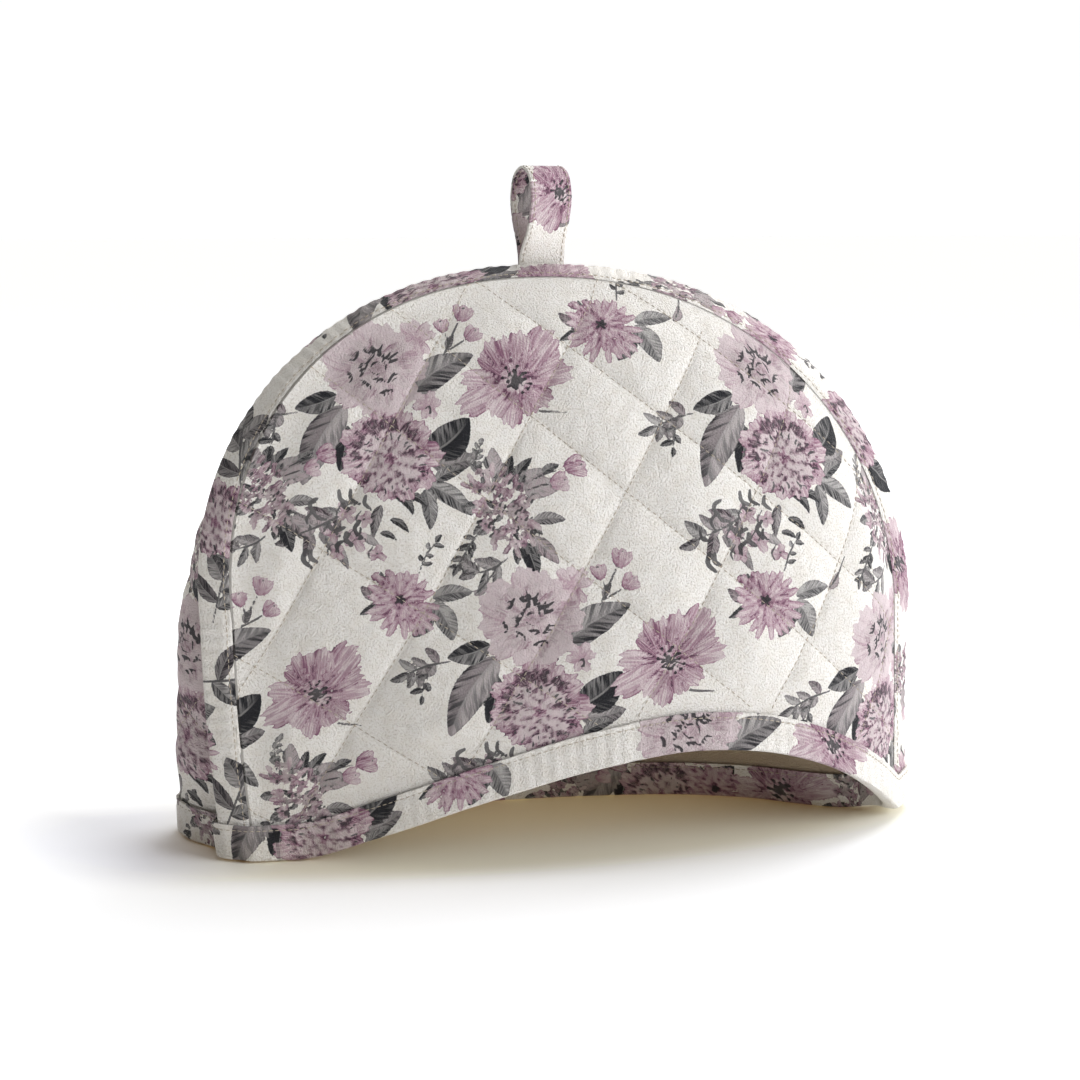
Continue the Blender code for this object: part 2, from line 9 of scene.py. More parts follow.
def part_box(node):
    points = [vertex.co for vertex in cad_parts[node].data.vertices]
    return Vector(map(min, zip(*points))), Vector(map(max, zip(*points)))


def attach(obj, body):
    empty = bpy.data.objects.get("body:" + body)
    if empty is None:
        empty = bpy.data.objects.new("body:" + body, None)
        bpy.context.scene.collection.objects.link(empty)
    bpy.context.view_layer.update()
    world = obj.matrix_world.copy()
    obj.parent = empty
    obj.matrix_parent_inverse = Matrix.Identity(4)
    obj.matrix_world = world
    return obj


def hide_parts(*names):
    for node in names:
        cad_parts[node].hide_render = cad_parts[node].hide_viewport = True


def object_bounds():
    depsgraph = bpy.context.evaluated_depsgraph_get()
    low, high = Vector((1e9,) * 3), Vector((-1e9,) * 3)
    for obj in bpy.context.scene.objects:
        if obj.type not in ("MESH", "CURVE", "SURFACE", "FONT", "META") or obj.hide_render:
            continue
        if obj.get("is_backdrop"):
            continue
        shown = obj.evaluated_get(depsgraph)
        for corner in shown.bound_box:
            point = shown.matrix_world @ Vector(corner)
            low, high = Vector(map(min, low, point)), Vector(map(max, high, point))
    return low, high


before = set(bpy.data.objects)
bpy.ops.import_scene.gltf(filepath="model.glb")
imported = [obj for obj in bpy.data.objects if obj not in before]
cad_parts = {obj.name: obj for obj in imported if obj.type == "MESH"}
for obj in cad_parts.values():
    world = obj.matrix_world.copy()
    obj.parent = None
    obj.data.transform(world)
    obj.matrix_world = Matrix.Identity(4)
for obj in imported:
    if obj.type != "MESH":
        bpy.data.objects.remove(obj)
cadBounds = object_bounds()

# Seam line and cloth sizes, in metres, the same as the solids'
seam = {
    "halfWidth": 0.147, "widest": 0.103, "top": 0.2445, "power": 2.15, "apexShift": -0.010,
    "leftNarrowing": 0.006, "rightNarrowing": -0.001, "front": -0.004, "lean": 0.03, "curl": 0.10,
    "squareEnd": 0.030, "sideShare": 0.27, "gap": 0.0008, "rightCorner": 0.003, "backRise": 0.93,
    "edge": 0.0018, "clearance": 0.0005, "thickness": 0.0010, "step": 0.004, "stations": 81,
    "foot": 0.001, "shoulder": 0.0124, "corner": 0.0152, "cornerShare": 0.55, "reach": 0.0156,
    "backFoot": 0.0080,
}
# Turn of the bound edge: share of the seam, degrees towards the back
edgeTurn = np.array([
    (0.0, 22), (0.20, 22), (0.30, 27), (0.38, 56), (0.50, 60), (0.62, 42), (0.72, 42), (0.80, 49), (1.0, 51),
])
# Plans of the two panels at the floor, left seam to right seam: x, y
backPlan = np.array([
    (-0.141, -0.004), (-0.141, 0.006), (-0.141, 0.016), (-0.141, 0.026),
    (-0.140, 0.0345), (-0.137, 0.041), (-0.129, 0.046), (-0.112, 0.048),
    (-0.080, 0.0472), (-0.030, 0.0465), (0.020, 0.044), (0.060, 0.038),
    (0.092, 0.027), (0.118, 0.012), (0.136, 0.004), (0.148, -0.004),
])
frontPlan = np.array([
    (-0.141, -0.004), (-0.122, -0.0055), (-0.098, -0.012), (-0.060, -0.024),
    (-0.015, -0.036), (0.030, -0.043), (0.070, -0.043), (0.104, -0.035),
    (0.128, -0.023), (0.142, -0.011), (0.148, -0.004),
])
# Bulge of the back past the left seam: height, reach; then depth behind the seam, share of it
overhang = np.array([
    (0.0, 0.0320), (0.065, 0.0255), (0.100, 0.0220), (0.126, 0.0190), (0.149, 0.0150),
    (0.175, 0.0065), (0.197, 0.0), (0.300, 0.0),
])
overhangDepth = np.array([
    (0.0, 0.0), (0.0080, 0.01), (0.0120, 0.14), (0.0160, 0.36), (0.0220, 0.62), (0.0300, 0.85),
    (0.0400, 1.0), (0.0800, 1.0),
])
# Front hem: share of the way across, height
hemArch = np.array([
    (0.0, 0.0), (0.07, 0.0003), (0.18, 0.0106), (0.34, 0.0283), (0.50, 0.0430),
    (0.66, 0.0498), (0.80, 0.0430), (0.90, 0.0287), (0.96, 0.0148), (1.0, 0.0030),
])
body = {
    "bulgePower": 1.8, "overhangWidth": 0.45, "bluntUntil": 0.55, "archedFrom": 0.80, "backDepth": 0.050,
    "hemThickness": 0.0030, "thickness": 0.0034, "puff": 0.0028, "ramp": 0.022, "mitre": 0.011,
    "liningPuff": 0.0008, "margin": 0.0130, "stretch": 1.06, "columns": 44, "lowerRows": 12,
    "upperRows": 16, "crowding": 0.45,
    "wrinkle": 0.00035, "wrinkleSize": 0.011, "creaseSize": 0.006, "creaseShare": 0.5,
}
# Quilting on the flat cloth. Falling lines: height at the middle, slope
fallingLines = np.array([
    (-0.067, -0.58), (-0.003, -0.60), (0.061, -0.66), (0.123, -0.87),
    (0.179, -0.93), (0.230, -0.92), (0.287, -0.90), (0.345, -0.90),
])
rising = {"angle": math.radians(56.4), "pitch": 0.0492, "start": 0.0236}
band = {
    "height": 0.0165, "thickness": 0.0012, "lift": 0.0018, "levels": 3, "slopeStep": 0.0125,
    "bridgeLeft": 0.055, "bridgeRight": 0.955, "leftTurn": 8, "rightTurn": 9,
    "cornerReach": (0.0, 0.0060, 0.0125), "cornerGap": 0.0007, "cornerShare": 0.6,
    "leftStart": 0.050, "leftEnd": 0.010, "rightStart": 0.992, "rightEnd": 0.959,
}


def ease(t):
    t = np.clip(t, 0.0, 1.0)
    return t * t * (3.0 - 2.0 * t)


def unit(vectors):
    return vectors / np.maximum(np.linalg.norm(vectors, axis=-1, keepdims=True), 1e-12)


def curveAt(stations, values, x):
    x = np.asarray(x, float)
    slopes = np.gradient(values, stations, axis=0)
    i = np.clip(np.searchsorted(stations, x, side="right") - 1, 0, len(stations) - 2)
    step = stations[i + 1] - stations[i]
    t = (x - stations[i]) / step
    if values.ndim > 1:
        step, t = step[..., None], t[..., None]
    start = (2 * t**3 - 3 * t**2 + 1) * values[i] + (t**3 - 2 * t**2 + t) * step * slopes[i]
    return start + (-2 * t**3 + 3 * t**2) * values[i + 1] + (t**3 - t**2) * step * slopes[i + 1]


def lengthsAlong(path):
    # Length walked from a path's start to each of its points
    return np.r_[0, np.cumsum(np.linalg.norm(np.diff(path, axis=0), axis=1))]


def arcStations(plan):
    travelled = lengthsAlong(plan)
    return travelled / travelled[-1]


def refine(values, factor, axis=0, closed=False):
    # Smooth curve through every sample, with factor steps between two of them
    values = np.moveaxis(np.asarray(values, float), axis, 0)
    if closed:
        padded = np.concatenate([values[-1:], values, values[:2]])
    else:
        padded = np.concatenate([2 * values[:1] - values[1:2], values, 2 * values[-1:] - values[-2:-1]])
    a, b, c, d = padded[:-3], padded[1:-2], padded[2:-1], padded[3:]
    steps = []
    for t in np.arange(factor) / factor:
        steps.append(0.5 * (2 * b + (c - a) * t + (2 * a - 5 * b + 4 * c - d) * t**2
                            + (3 * b - a - 3 * c + d) * t**3))
    fine = np.stack(steps, 1).reshape((-1,) + values.shape[1:])
    if not closed:
        fine = np.concatenate([fine, values[-1:]])
    return np.moveaxis(fine, 0, axis)


backStations, frontStations = arcStations(backPlan), arcStations(frontPlan)


def rise(z):
    return np.clip((z - seam["widest"]) / (seam["top"] - seam["widest"]), 0, 1)


def seamSides(z):
    up = rise(z)
    low = np.clip((seam["widest"] - z) / seam["widest"], 0, 2) ** 2
    half = seam["halfWidth"] * (1 - up ** seam["power"]) ** (1 / seam["power"])
    middle = seam["apexShift"] * up
    return middle - half + seam["leftNarrowing"] * low, middle + half - seam["rightNarrowing"] * low


def seamY(z):
    return seam["front"] + seam["lean"] * z + seam["curl"] * z * z / seam["top"]


def seamShare(height):
    # Share of the seam up to a height on its left side
    return seam["sideShare"] * height / seam["widest"]


def liningPoint(front, s, z):
    stations, plan = (frontStations, frontPlan) if front else (backStations, backPlan)
    s, z = np.broadcast_arrays(np.asarray(s, float), np.asarray(z, float))
    base = curveAt(stations, plan, s)
    across = np.clip((base[..., 0] - plan[0, 0]) / (plan[-1, 0] - plan[0, 0]), 0, 1)
    depth = base[..., 1] - seam["front"]
    up = np.clip(z / seam["top"], 0, 1)
    left, right = seamSides(z)
    falling = 1 - up ** body["bulgePower"]
    if front:
        return np.stack([left + (right - left) * across, seamY(z) + depth * falling, z], -1)
    arched = ease((up - body["bluntUntil"]) / (body["archedFrom"] - body["bluntUntil"]))
    across = across + (s - across) * arched
    depth = (depth + (body["backDepth"] * (1 - (2 * s - 1) ** 2) - depth) * arched) * falling
    reach = np.interp(depth, overhangDepth[:, 0], overhangDepth[:, 1])
    reach = reach * curveAt(overhang[:, 0], overhang[:, 1], z) * (1 - ease(across / body["overhangWidth"]))
    return np.stack([left + (right - left) * across - reach, seamY(z) + depth, z], -1)


def hemHeight(front, s):
    s = np.asarray(s, float)
    if not front:
        return seam["rightCorner"] * ease((s - seam["backRise"]) / (1 - seam["backRise"]))
    x = curveAt(frontStations, frontPlan, s)[..., 0]
    across = (x - frontPlan[0, 0]) / (frontPlan[-1, 0] - frontPlan[0, 0])
    return np.maximum(curveAt(hemArch[:, 0], hemArch[:, 1], across), 0)


def superellipse(angle):
    c, s = np.abs(np.cos(angle)), np.abs(np.sin(angle))
    return (c ** seam["power"] + s ** seam["power"]) ** (-1 / seam["power"])


def seamPoint(a):
    a = np.asarray(a, float)
    side = seam["sideShare"]
    lowZ = seam["widest"] * np.minimum(a, 1 - a) / side
    angle = math.pi - math.pi * np.clip((a - side) / (1 - 2 * side), 0, 1)
    reach = superellipse(angle)
    highZ = seam["widest"] + (seam["top"] - seam["widest"]) * reach * np.sin(angle)
    highX = seam["apexShift"] * rise(highZ) + seam["halfWidth"] * reach * np.cos(angle)
    low = np.minimum(a, 1 - a) < side
    z = np.where(low, lowZ, highZ)
    left, right = seamSides(z)
    x = np.where(low, np.where(a < 0.5, left, right), highX)
    return np.stack([x, seamY(z), z], -1)


def seamFrame(a):
    # Seam point, direction of the bound edge and the normal of its front face
    a = np.asarray(a, float)
    point = seamPoint(a)
    floor = np.where(a < 0.5, 0, seam["rightCorner"])
    square = ease((point[..., 2] - floor) / seam["squareEnd"])[..., None]
    tangent = seamPoint(a + seam["step"]) - seamPoint(a - seam["step"])
    tangent = unit(np.concatenate([tangent[..., :2] * square, tangent[..., 2:]], -1))
    slope = (seam["lean"] + 2 * seam["curl"] * point[..., 2:] / seam["top"]) * square
    backwards = unit(np.concatenate([0 * slope, 1 + 0 * slope, -slope], -1))
    outwards = unit(np.cross(tangent, backwards))
    turn = np.radians(curveAt(edgeTurn[:, 0], edgeTurn[:, 1], a))[..., None]
    edge = outwards * np.cos(turn) + backwards * np.sin(turn)
    return point, edge, outwards * np.sin(turn) - backwards * np.cos(turn)


# How the cloth is laid flat: samples, the profile walked up, the row walked across the back and
# the heights between which the back's cloth turns from the floor's spacing to the dome's
layout = {"samples": 200, "profile": 0.55, "row": 0.10, "bendFrom": 0.15, "bend": 0.06}
profileZ = np.linspace(0, seam["top"], layout["samples"])
profileLength = lengthsAlong(liningPoint(True, layout["profile"], profileZ))


def laidOut(front, s, z):
    # Place on the flat cloth, from the panel's middle and the floor
    left, right = seamSides(z)
    x = (s - 0.5) * (right - left) * body["stretch"]
    return (x if front else -x), np.interp(z, profileZ, profileLength)


def printedX(front, s, z):
    # Place across the print: the back's deep side takes more cloth than its width shows
    x, _ = laidOut(front, s, z)
    if front:
        return x
    share = np.linspace(0, 1, layout["samples"])
    travelled = lengthsAlong(liningPoint(False, share, layout["row"]))
    left, right = seamSides(layout["row"])
    arc = (np.interp(s, share, travelled) - np.interp(0.5, share, travelled)) / (right - left)
    left, right = seamSides(z)
    bent = ease((z - layout["bendFrom"]) / layout["bend"])
    return x * bent - (right - left) * arc * (1 - bent)


def quiltSwell(x, y):
    # 0 on a stitched line, 1 in the middle of a diamond
    distance = [(y - (height + slope * x)) / math.hypot(1, slope) for height, slope in fallingLines]
    share = np.zeros_like(x)
    for below, above in zip(distance[:-1], distance[1:]):
        between = (below >= 0) & (above < 0)
        share = np.where(between, below / np.maximum(below - above, 1e-6), share)
    away = y * math.cos(rising["angle"]) - x * math.sin(rising["angle"]) - rising["start"]
    return np.sqrt(np.abs(np.sin(math.pi * share)) * np.abs(np.sin(math.pi * away / rising["pitch"])))


def crowd(front, share, height):
    # Columns stand closer where the panel bulges most: right on the front, left on the back
    amount = body["crowding"] * (1 - ease(height)) * share * (1 - share)
    return share + amount if front else share - amount


def panelDomain(front, columnFactor, rowFactor):
    # Grid of a panel: share across, height (lower rows as shares) and distance from the seam
    columns = body["columns"] * columnFactor
    lowerRows, upperRows = body["lowerRows"] * rowFactor, body["upperRows"] * rowFactor
    u = np.linspace(-1, 1, columns + 1)
    across, height, inset = [], [], []
    for v in np.linspace(-1, 0, lowerRows + 1)[:-1]:
        across.append((u + 1) / 2)
        height.append(np.full(columns + 1, v))
        inset.append((1 - np.abs(u)) * seam["halfWidth"])
    for v in np.linspace(0, 1, upperRows + 1):
        x = u * np.sqrt(1 - v * v / 2)
        y = v * np.sqrt(1 - u * u / 2)
        reach = superellipse(np.arctan2(y, x))
        chord = np.maximum(1 - (reach * y) ** seam["power"], 0) ** (1 / seam["power"])
        share = np.where(chord > 1e-5, reach * x / np.maximum(chord, 1e-5), 0)
        across.append((np.clip(share, -1, 1) + 1) / 2)
        height.append(reach * y)
        inset.append((1 - np.hypot(x, y)) * seam["halfWidth"])
    across, height, inset = np.array(across), np.array(height), np.maximum(np.array(inset), 0)
    crowded = crowd(front, across, height)
    near, nearer = np.minimum(across, 1 - across), np.minimum(crowded, 1 - crowded)
    return crowded, height, inset * (nearer + 1e-6) / (near + 1e-6)


def panelHeights(front, across, height):
    hem = band["lift"] + hemHeight(front, across)
    lower = hem + (seam["widest"] - hem) * (height + 1)
    upper = seam["widest"] + (seam["top"] - seam["widest"]) * height
    return np.where(height < 0, lower, upper), hem


def seamRing(front, height):
    # Seam parameters of the grid's border, from the left hem over the top to the right hem
    side, rows, columns = seam["sideShare"], body["lowerRows"], body["columns"]
    left = seamShare(panelHeights(front, np.zeros(1), height[:rows, :1])[0][:, 0])
    right = 1 - seamShare(panelHeights(front, np.ones(1), height[:rows, -1:])[0][:, 0])
    u = np.linspace(-1, 1, columns + 1)
    v = np.linspace(0, 1, body["upperRows"] + 1)
    climb = np.arctan2(v * math.sqrt(0.5), np.sqrt(1 - v * v / 2)) / math.pi
    top = 1 - np.arctan2(np.sqrt(1 - u * u / 2), u * math.sqrt(0.5)) / math.pi
    over = np.r_[climb, top[1:-1], 1 - climb[::-1]]
    return np.r_[left, side + (1 - 2 * side) * over, right[::-1]]


def borderCells(rows, columns):
    # Grid cells along a panel's seam, from the left hem over the top to the right hem
    cells = [(row, 0) for row in range(rows)]
    cells += [(rows - 1, column) for column in range(1, columns - 1)]
    return cells + [(row, columns - 1) for row in reversed(range(rows))]


def softNoise(x, y, cell, seed):
    # Smooth noise between -1 and 1 over a plane, with bumps about one cell wide
    across, down = 97, 89
    draws = np.random.default_rng(seed).uniform(-1, 1, (across, down))
    u, v = x / cell, y / cell
    i, j = np.floor(u).astype(int), np.floor(v).astype(int)
    a, b = ease(u - i), ease(v - j)
    pick = lambda m, n: draws[(i + m) % across, (j + n) % down]
    low = pick(0, 0) * (1 - a) + pick(1, 0) * a
    high = pick(0, 1) * (1 - a) + pick(1, 1) * a
    return low * (1 - b) + high * b


def panelSurfaces(front, columnFactor, rowFactor):
    # Fine outer and lining grids of a panel, its flat-cloth places and its bound margin
    across, height, inset = panelDomain(front, 1, 1)
    z, _ = panelHeights(front, across, height)
    side = -1.0 if front else 1.0
    lining = liningPoint(front, across, z)
    lining[..., 1] += side * seam["gap"] / 2
    normal = unit(np.cross(np.gradient(lining, axis=1), np.gradient(lining, axis=0)))
    if normal[body["lowerRows"] // 2, body["columns"] // 2, 1] * side < 0:
        normal = -normal
    rows, columns = lining.shape[:2]
    ring = seamRing(front, height)
    point, _, facing = seamFrame(ring)
    out = facing * -side
    # The border lies on the seam's plane, and its normals are mitred into the panel's
    for k, (row, column) in enumerate(borderCells(rows, columns)):
        lining[row, column] = point[k] + out[k] * seam["gap"] / 2
        turned = unit(out[k] + normal[row, column])
        normal[row, column] = turned / max(float(turned @ out[k]), 0.5)
    around = (normal[:-2, 1:-1] + normal[2:, 1:-1] + normal[1:-1, :-2] + normal[1:-1, 2:]) / 4
    close = 1 - ease(inset / body["mitre"])[1:-1, 1:-1, None]
    normal[1:-1, 1:-1] += (around - normal[1:-1, 1:-1]) * close
    lining = refine(refine(lining, rowFactor, 0), columnFactor, 1)
    normal = refine(refine(normal, rowFactor, 0), columnFactor, 1)

    across, height, inset = panelDomain(front, columnFactor, rowFactor)
    z, hem = panelHeights(front, across, height)
    x, y = laidOut(front, across, z)
    # Thin at the seam and at the hem, full between them
    inwards = ease(inset / body["ramp"])
    upwards = ease((z - hem - band["height"]) / body["ramp"])
    swell = quiltSwell(x, y) * inwards * upwards
    thick = np.minimum(seam["edge"] + (body["thickness"] - seam["edge"]) * inwards,
                       body["hemThickness"] + (body["thickness"] - body["hemThickness"]) * upwards)
    creases = softNoise(x + y, y - x, body["creaseSize"], 4)
    folds = softNoise(x, y, body["wrinkleSize"], 3) + body["creaseShare"] * creases
    thick = thick + body["wrinkle"] * folds * inwards * upwards
    outer = lining + normal * (thick + body["puff"] * swell)[..., None]
    lining = lining - normal * (body["liningPuff"] * swell)[..., None]
    cells = borderCells(*lining.shape[:2])
    places = ringPlaces(rows, columns, columnFactor, rowFactor)
    point, edge, facing = seamFrame(np.interp(np.arange(len(cells)), places, ring))
    out = facing * -side
    inner = point + edge * body["margin"] + out * seam["gap"] / 2
    return {
        "outer": outer, "lining": lining, "cells": cells, "margin": (inner, inner + out * seam["edge"]),
        "x": x, "y": y, "printX": printedX(front, across, z), "across": across, "z": z,
    }


def ringPlaces(rows, columns, columnFactor, rowFactor):
    # Index on the fine border of each station on the coarse one
    side = np.arange(rows) * rowFactor
    top = side[-1] + np.arange(1, columns - 1) * columnFactor
    start = side[-1] + (columns - 1) * columnFactor
    return np.r_[side, top, start + side]


# Layers of the print, each with three numbers a point. The first number of petal, leaf and ink is the
# distance inside a mark's outline in millimetres, below 0 outside it and bare where no mark is near.
# It is kept as far past the outline as rims says
printLayers = ("petal", "petalTint", "leaf", "leafTint", "ink")
bare = -9.0
rims = {"petal": -2.5, "leaf": -3.0}


# The printed cloth, drawn on the flat in millimetres
class Print:
    def __init__(self, x, y):
        self.x, self.y = np.ravel(x) * 1000, np.ravel(y) * 1000
        for name in printLayers:
            start = 0.0 if name.endswith("Tint") else bare
            setattr(self, name, np.tile((start, 0.0, 0.0), (len(self.x), 1)))
        self.place = (0.0, 0.0, 0.0, 1.0)

    def addBare(self, x, y):
        # More points, without print
        self.x, self.y = np.r_[self.x, x], np.r_[self.y, y]
        for name in printLayers:
            setattr(self, name, np.concatenate([getattr(self, name), np.tile((bare, 0, 0), (len(x), 1))]))

    def at(self, x, y):
        # From the bunch's own place to the cloth's
        bunchX, bunchY, turn, size = self.place
        c, s = math.cos(turn) * size, math.sin(turn) * size
        return bunchX + x * c - y * s, bunchY + x * s + y * c

    def near(self, x, y, reach):
        return np.nonzero((np.abs(self.x - x) < reach) & (np.abs(self.y - y) < reach))[0]

    def local(self, x, y, angle, reach):
        # The points near a mark, and their places along and across it
        px, py = self.at(x, y)
        picked = self.near(px, py, reach * self.place[3] + 2)
        turn = math.radians(angle) + self.place[2]
        dx, dy = self.x[picked] - px, self.y[picked] - py
        c, s = math.cos(turn), math.sin(turn)
        return picked, dx * c + dy * s, dy * c - dx * s

    def paintLeaf(self, x, y, angle, length, width, bend=0.1, tone=0.4, pink=0.0):
        length, half = length * self.place[3], width * self.place[3] / 2
        picked, u, v = self.local(x, y, angle, length / self.place[3] + width)
        t = u / length
        inner = np.clip(t, 0, 1)
        v = v - bend * length * np.sin(math.pi * inner) * 0.6
        wide = half * np.sin(math.pi * inner**0.8) ** 0.75
        pastEnds = (0.5 - np.abs(t - 0.5)) * length
        edge = np.where((t > 0) & (t < 1), wide, pastEnds) - np.abs(v)
        edge = np.where(edge > rims["leaf"], edge, bare)
        take = (edge > 0) | (edge > self.leaf[picked, 0])
        self.leaf[picked[take]] = np.stack([edge, t, v / half], -1)[take]
        # Each leaf's own streaks, from its place
        seed = (abs(x * 7 + y * 13 + angle) % 17) / 17
        self.leafTint[picked[take]] = (tone, pink, seed)

    def paintPetal(self, x, y, angle, start, length, width, tone=0.4, seed=0.0, ruffle=0.05, point=4.0,
                   grey=0.0):
        size = self.place[3]
        length, half = length * size, width * size / 2
        picked, u, v = self.local(x, y, angle, length / size + width)
        frill = 1 + ruffle * np.sin(9 * v / half + seed * 9) + 0.6 * ruffle * np.sin(17 * v / half + seed * 5)
        t = u / (length * frill)
        inner = np.clip(t, 0.0001, 1)
        wide = half * (0.25 + 0.75 * np.sqrt(inner)) * (1 - inner**point) ** 0.5
        pastTip = np.where(t >= 1, (1 - t) * length - 0.3, bare)
        edge = np.where((t > start) & (t < 1), wide - np.abs(v), pastTip)
        old = self.petal[picked, 0]
        edge = np.where((edge < 0) & (old > 0), bare, edge)
        inside = edge > 0
        take = inside | ((edge > old) & (edge > rims["petal"]))
        chosen = picked[take]
        self.petal[chosen] = np.stack([np.where(inside, np.maximum(edge, 0.15), edge), t, v / half], -1)[take]
        self.petalTint[chosen] = (tone, seed, grey)
        self.ink[picked[inside], 0] = bare

    def paintStroke(self, points, thick=1.0, tone=0.0):
        # A brush line through a few points, thickest in its middle
        path = refine(np.array(points, float), 4)
        path = np.array([self.at(*p) for p in path])
        middle = path.mean(axis=0)
        reach = np.abs(path - middle).max() + 3
        picked = self.near(middle[0], middle[1], reach)
        if not len(picked):
            return
        spot = np.stack([self.x[picked], self.y[picked]], -1)
        best = np.full(len(picked), -bare)
        count = len(path) - 1
        for k in range(count):
            a, b = path[k], path[k + 1]
            along = np.clip(((spot - a) @ (b - a)) / max((b - a) @ (b - a), 1e-9), 0, 1)
            away = np.linalg.norm(spot - a - along[:, None] * (b - a), axis=1)
            swell = math.sin(math.pi * (0.12 + 0.8 * (k + 0.5) / count)) ** 0.5
            best = np.minimum(best, away - thick * self.place[3] / 2 * swell)
        take = -best > self.ink[picked, 0]
        self.ink[picked[take], 0] = -best[take]
        self.ink[picked[take], 1] = tone


def ringOfPetals(p, x, y, count, length, width, tone, draw, spread=0.25, ruffle=0.05, squash=1.0,
                 point=4.0, first=0.0, grey=0.0):
    # Overlapping petals round a middle, laid in a random order
    for k in draw.permutation(count):
        angle = first + 360 * (k + draw.uniform(-spread, spread)) / count
        stretch = math.hypot(math.cos(math.radians(angle)), squash * math.sin(math.radians(angle)))
        p.paintPetal(x, y, angle, 0.0, length * stretch * draw.uniform(0.92, 1.06),
                     width * draw.uniform(0.85, 1.15), tone + draw.uniform(-0.08, 0.08),
                     draw.uniform(0, 1), ruffle, point, grey)


def paleBloom(p, x, y, draw):
    ringOfPetals(p, x, y, 11, 22, 15, 0.20, draw, ruffle=0.035, point=6, grey=0.12)
    ringOfPetals(p, x + 1, y + 1, 9, 16.5, 11, 0.30, draw, ruffle=0.05, grey=0.32)
    ringOfPetals(p, x + 1, y + 1, 8, 11.5, 8, 0.16, draw, ruffle=0.06, grey=0.28)
    ringOfPetals(p, x + 1, y + 1, 6, 6, 5, 0.34, draw, grey=0.35)
    onRing = lambda r, t: (x + 1 + r * math.cos(t), y + 1 + r * math.sin(t))
    # Curled strokes winding outwards, each with short barbs, and a fan of straighter ones
    for k in range(15):
        start, radius = math.radians(58 + 137.5 * k), 2.6 + 0.70 * k
        if radius > 8 and (math.degrees(start) + 60) % 360 < 110:
            continue
        sweep = draw.uniform(4.6, 7.4) / (radius + 0.8)
        curl = [onRing(radius * r, start + sweep * t) for t, r in ((0, 1.08), (0.5, 0.98), (1, 1.04))]
        p.paintStroke(curl, draw.uniform(0.8, 1.2), draw.uniform(0.0, 0.1))
        for t in (0.2, 0.5, 0.85) if k > 2 else ():
            turn = start + sweep * t
            barb = [onRing(radius, turn), onRing(radius + draw.uniform(1.2, 2.6), turn + 0.9 / radius)]
            p.paintStroke(barb, draw.uniform(0.7, 1.0), 0.05)
    for k in range(7):
        angle = math.radians(22 + 15 * k + draw.uniform(-4, 4))
        near, far, bow = draw.uniform(4.5, 6.5), draw.uniform(9.5, 13.5), draw.uniform(-0.14, 0.14)
        ray = [onRing(r, angle + bow * t) for r, t in ((near, 0), ((near + far) / 2, 1), (far, 0.6))]
        p.paintStroke(ray, draw.uniform(0.9, 1.5), draw.uniform(0, 0.15))


def deepBloom(p, x, y, draw):
    ringOfPetals(p, x, y, 11, 22, 14, 0.48, draw, squash=0.94, ruffle=0.035, point=6)
    ringOfPetals(p, x, y, 12, 19, 8, 0.95, draw, squash=0.94, ruffle=0.05, point=6)
    ringOfPetals(p, x, y, 10, 18, 9, 0.62, draw, squash=0.94, ruffle=0.05, point=6)
    for k in range(9):
        angle = 40 + 17 * k + draw.uniform(-5, 5)
        p.paintPetal(x, y, angle, 0.3, 17, 5.5, 1.25, draw.uniform(0, 1), grey=0.5)
    # A dark disc behind each paler ring shows between its petals
    for reach, count, tone, grey, gap in ((14.5, 11, 0.30, 0.05, 1.25), (11.5, 9, 0.12, 0.25, 1.1),
                                          (8.6, 8, 0.22, 0.15, 0.9), (5.6, 6, 0.10, 0.3, 0.7)):
        ringOfPetals(p, x, y - 2, 9, reach + 0.3, reach * 0.9, gap, draw, ruffle=0.08, grey=0.45)
        ringOfPetals(p, x, y - 2, count, reach, reach * 0.62, tone, draw, spread=0.12, ruffle=0.04,
                     grey=grey)
    ringOfPetals(p, x, y - 1.5, 5, 3.2, 2.6, 0.70, draw)
    for k in range(22):
        angle = math.radians(360 * k / 22 + draw.uniform(-9, 9))
        low = 7.0 if math.sin(angle) > 0.1 else 11.5
        near = low + draw.uniform(0, 4)
        far = near + draw.uniform(2.0, 4.5)
        streak = [(x + r * math.cos(angle + b), y - 1 + r * math.sin(angle + b))
                  for r, b in ((near, 0), ((near + far) / 2, 0.07), (far, 0.05))]
        p.paintStroke(streak, draw.uniform(0.7, 1.2), draw.uniform(0.1, 0.6))


# Open flower's petals: angle, length, width in millimetres
openPetals = (
    (-72, 16, 12), (-35, 17, 13), (-104, 21, 12), (180, 23, 13), (-152, 29, 14), (-128, 20, 11),
    (139, 18, 12), (118, 20, 12), (10, 25, 14), (96, 19, 14), (29, 24, 13), (50, 29, 17), (76, 22, 12),
)


def openBloom(p, draw):
    p.paintStroke([(3, -10), (9, -14), (20, -15)], 1.2, 0.55)
    for angle, length, width in openPetals:
        p.paintPetal(0, 0, angle, 0.0, length, width * 0.93, draw.uniform(0.04, 0.64),
                     draw.uniform(0, 1), 0.045, 10, draw.uniform(0, 0.12))
    ringOfPetals(p, 0, 0, 15, 14, 1.7, 0.72, draw, ruffle=0.12)
    ringOfPetals(p, 0, 0, 11, 7, 2.6, 0.40, draw, ruffle=0.12)
    ringOfPetals(p, 0, -1.5, 8, 4.5, 2.6, 0.10, draw)
    # Stamens, each with a dark head
    for k in range(15):
        angle = math.radians(24 * k + draw.uniform(-9, 9))
        far = draw.uniform(3.2, 7.5)
        top = (far * math.cos(angle), far * math.sin(angle) * 0.9)
        p.paintStroke([(0, 0), top], 0.75, 0.25)
        p.paintStroke([top, (top[0] + 0.7, top[1] + 0.4)], 1.4, 0.0)


